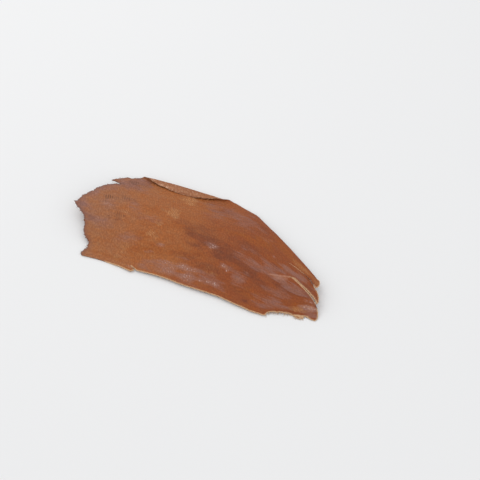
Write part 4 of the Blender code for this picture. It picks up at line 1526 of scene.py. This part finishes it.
inner_face, tree, shader = start_material("inner face", INNER_GLOSS)
spot = attribute_of(tree, "grain_place", "Vector")
broad = use_group(tree, grain_group, spot, Run=110.0, Width=9.0, Bend=6.0)
ribs = use_group(tree, grain_group, spot, Run=60.0, Width=1.4, Bend=1.0)
specks = noise_of(tree, turned_by(tree, spot, SPECK_TURN), SPECK_SIZE, detail=3.0, rough=0.65)
shreds = noise_of(tree, turned_by(tree, spot, SHRED_TURN), SHRED_SIZE, rough=0.6)
color = layered(tree, mix_of(tree, broad["Streak"], INNER_DEEP, INNER_PALE), (
    (ramp_of(tree, parts_of(tree, spot)[0], -60.0, 10.0), 0.6, OCHRE_TONE),
    (ribs["Streak"], 0.3, INNER_STRAW),
    (ribs["Line"], 0.5, INNER_DEEP),
    (ramp_of(tree, specks, 0.4, 0.6), 0.6, INNER_DEEP),
    (ramp_of(tree, shreds, 0.54, 0.7), 0.5, PINK_FIBRE),
    # Dark edges: dry skin at the torn end, painted shade by the gap and the flap's edge.
    (ragged_mark(tree, spot, "dark_skin_and_edge_shade", 1.0, 6.0, 2.0, 0.0, 0.5, 0.4), 0.5, PURPLE_BROWN),
    (ragged_mark(tree, spot, "bare", 1.0, 1.8, 0.8, -0.6, 1.4, 0.15), 0.8, PINK_FIBRE),
))
set_inputs(tree, shader, {
    "Base Color": color,
    "Roughness": plus(tree, INNER_ROUGHNESS, times(tree, ribs["Line"], RIB_ROUGHNESS)),
    "Normal": bump_of(tree, ribs["Height"], RIB_BUMP),
})
print("inner face has", len(tree.nodes), "nodes")

# %% [markdown]
# ## Torn rim and fibres
#
# A fresh tear or cut shows the straw colour of the fibres. An old one has
# gone brown. The rim's material mixes the two by its own mark, and the loose
# fibres vary from one to the next by a number that was kept on each of them.

# %% Rim and fibre materials
OLD_RIM = (0.20, 0.075, 0.04, 1.0)
RIM_GLOSS = 0.2
RIM_DULLNESS = 0.75
LINE_DULLNESS = 0.1
RIM_BUMP = (0.0004, 0.8)

rim_material, tree, shader = start_material("torn rim", RIM_GLOSS)
spot = attribute_of(tree, "grain_place", "Vector")
fibre_ends = use_group(tree, grain_group, spot, Run=5.0, Width=0.7, Bend=0.5)
fresh = ragged_mark(tree, spot, "rim_pale", 1.0, 4.0, 1.0, 0.0, 0.35, 0.4)
color = mix_of(tree, fresh, OLD_RIM, STRAW)
set_inputs(tree, shader, {
    "Base Color": layered(tree, color, ((fibre_ends["Line"], 0.3, INNER_DEEP),)),
    "Roughness": plus(tree, RIM_DULLNESS, times(tree, fibre_ends["Line"], LINE_DULLNESS)),
    "Normal": bump_of(tree, fibre_ends["Height"], RIM_BUMP),
})

fibre_material, tree, shader = start_material("torn fibre", RIM_GLOSS)
tone = attribute_of(tree, "tone")
set_inputs(tree, shader, {
    "Base Color": mix_of(tree, tone, OLD_RIM, STRAW),
    "Roughness": ramp_of(tree, tone, 0.0, 1.0, 0.65, 0.85),
})
for material in (skin, inner_face, rim_material):
    sheet_mesh.materials.append(material)
fibre_mesh.materials.append(fibre_material)
print("materials on the sheet:", [material.name for material in sheet_mesh.materials])

# %% [markdown]
# ## Floor and light
#
# The picture was taken on a white sweep under very soft light. A bright,
# even world gives the open shade, and one large soft lamp from the far left
# gives the skin its sheen and the sheet a faint shadow. A sweep could be
# curved up behind the sheet, but a wide plain floor looks the same from
# above.

# %% Floor
FLOOR_HALF = 6.0
FLOOR_COLOR = (0.83, 0.83, 0.83, 1.0)
FLOOR_ROUGHNESS = 0.9

floor_mesh = bpy.data.meshes.new("floor")
corner_ways = ((-1.0, -1.0), (1.0, -1.0), (1.0, 1.0), (-1.0, 1.0))
square = [(way_x * FLOOR_HALF, way_y * FLOOR_HALF, 0.0) for way_x, way_y in corner_ways]
floor_mesh.from_pydata(square, [], [(0, 1, 2, 3)])
floor = add_object("floor", floor_mesh)
floor_paint, tree, shader = start_material("pale floor", 0.0)
set_inputs(tree, shader, {"Base Color": FLOOR_COLOR, "Roughness": FLOOR_ROUGHNESS})
floor_mesh.materials.append(floor_paint)
print("floor", 2.0 * FLOOR_HALF, "m wide")

# %% World and lights
WORLD_STRENGTH = 0.90
WORLD_COLOR = (0.985, 0.99, 1.0, 1.0)
KEY_PLACE = (-0.9, 0.55, 1.5)
KEY_SIZE = 1.3
KEY_POWER = 6.0
FILL_PLACE = (1.2, -1.0, 1.2)
FILL_SIZE = 1.6
FILL_POWER = 1.5


def soft_light(name, light_place, size, power):
    """Hang a square soft light that faces the middle of the sheet."""
    light = bpy.data.lights.new(name, "AREA")
    light.shape = "SQUARE"
    light.size = size
    light.energy = power
    lamp = add_object(name, light)
    lamp.location = light_place
    lamp.rotation_euler = (-Vector(light_place)).to_track_quat("-Z", "Y").to_euler()


soft_light("window_light", KEY_PLACE, KEY_SIZE, KEY_POWER)
soft_light("fill_light", FILL_PLACE, FILL_SIZE, FILL_POWER)
world = bpy.data.worlds.new("white studio")
world.use_nodes = True
set_inputs(
    world.node_tree, world.node_tree.nodes["Background"].inputs,
    {"Color": WORLD_COLOR, "Strength": WORLD_STRENGTH},
)
bpy.context.scene.world = world
bpy.context.scene.view_settings.view_transform = "Standard"

# %% [markdown]
# ## Handing the sheet over
#
# The dressed sheet takes the imported one's place and rides on its body.
# One measure comes first: how far the new surface strays from the
# imported one.

# %% Distance to the imported sheet
MEASURED_EVERY = 7

packed_points = [vertex.co for vertex in cad_sheet.data.vertices]
packed_faces = [tuple(face.vertices) for face in cad_sheet.data.polygons]
cad_tree = BVHTree.FromPolygons(packed_points, packed_faces)
strays = [cad_tree.find_nearest(Vector(point))[3] / MM for point in points[::MEASURED_EVERY]]
print("distance to the packed surface: mean", round(float(np.mean(strays)), 2), "mm")
print("and the greatest", round(max(strays), 2), "mm")

# %% Ride and replace
for piece in (sheet, fibres):
    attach(piece, "root")
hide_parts("bark_sheet")
bpy.context.view_layer.update()
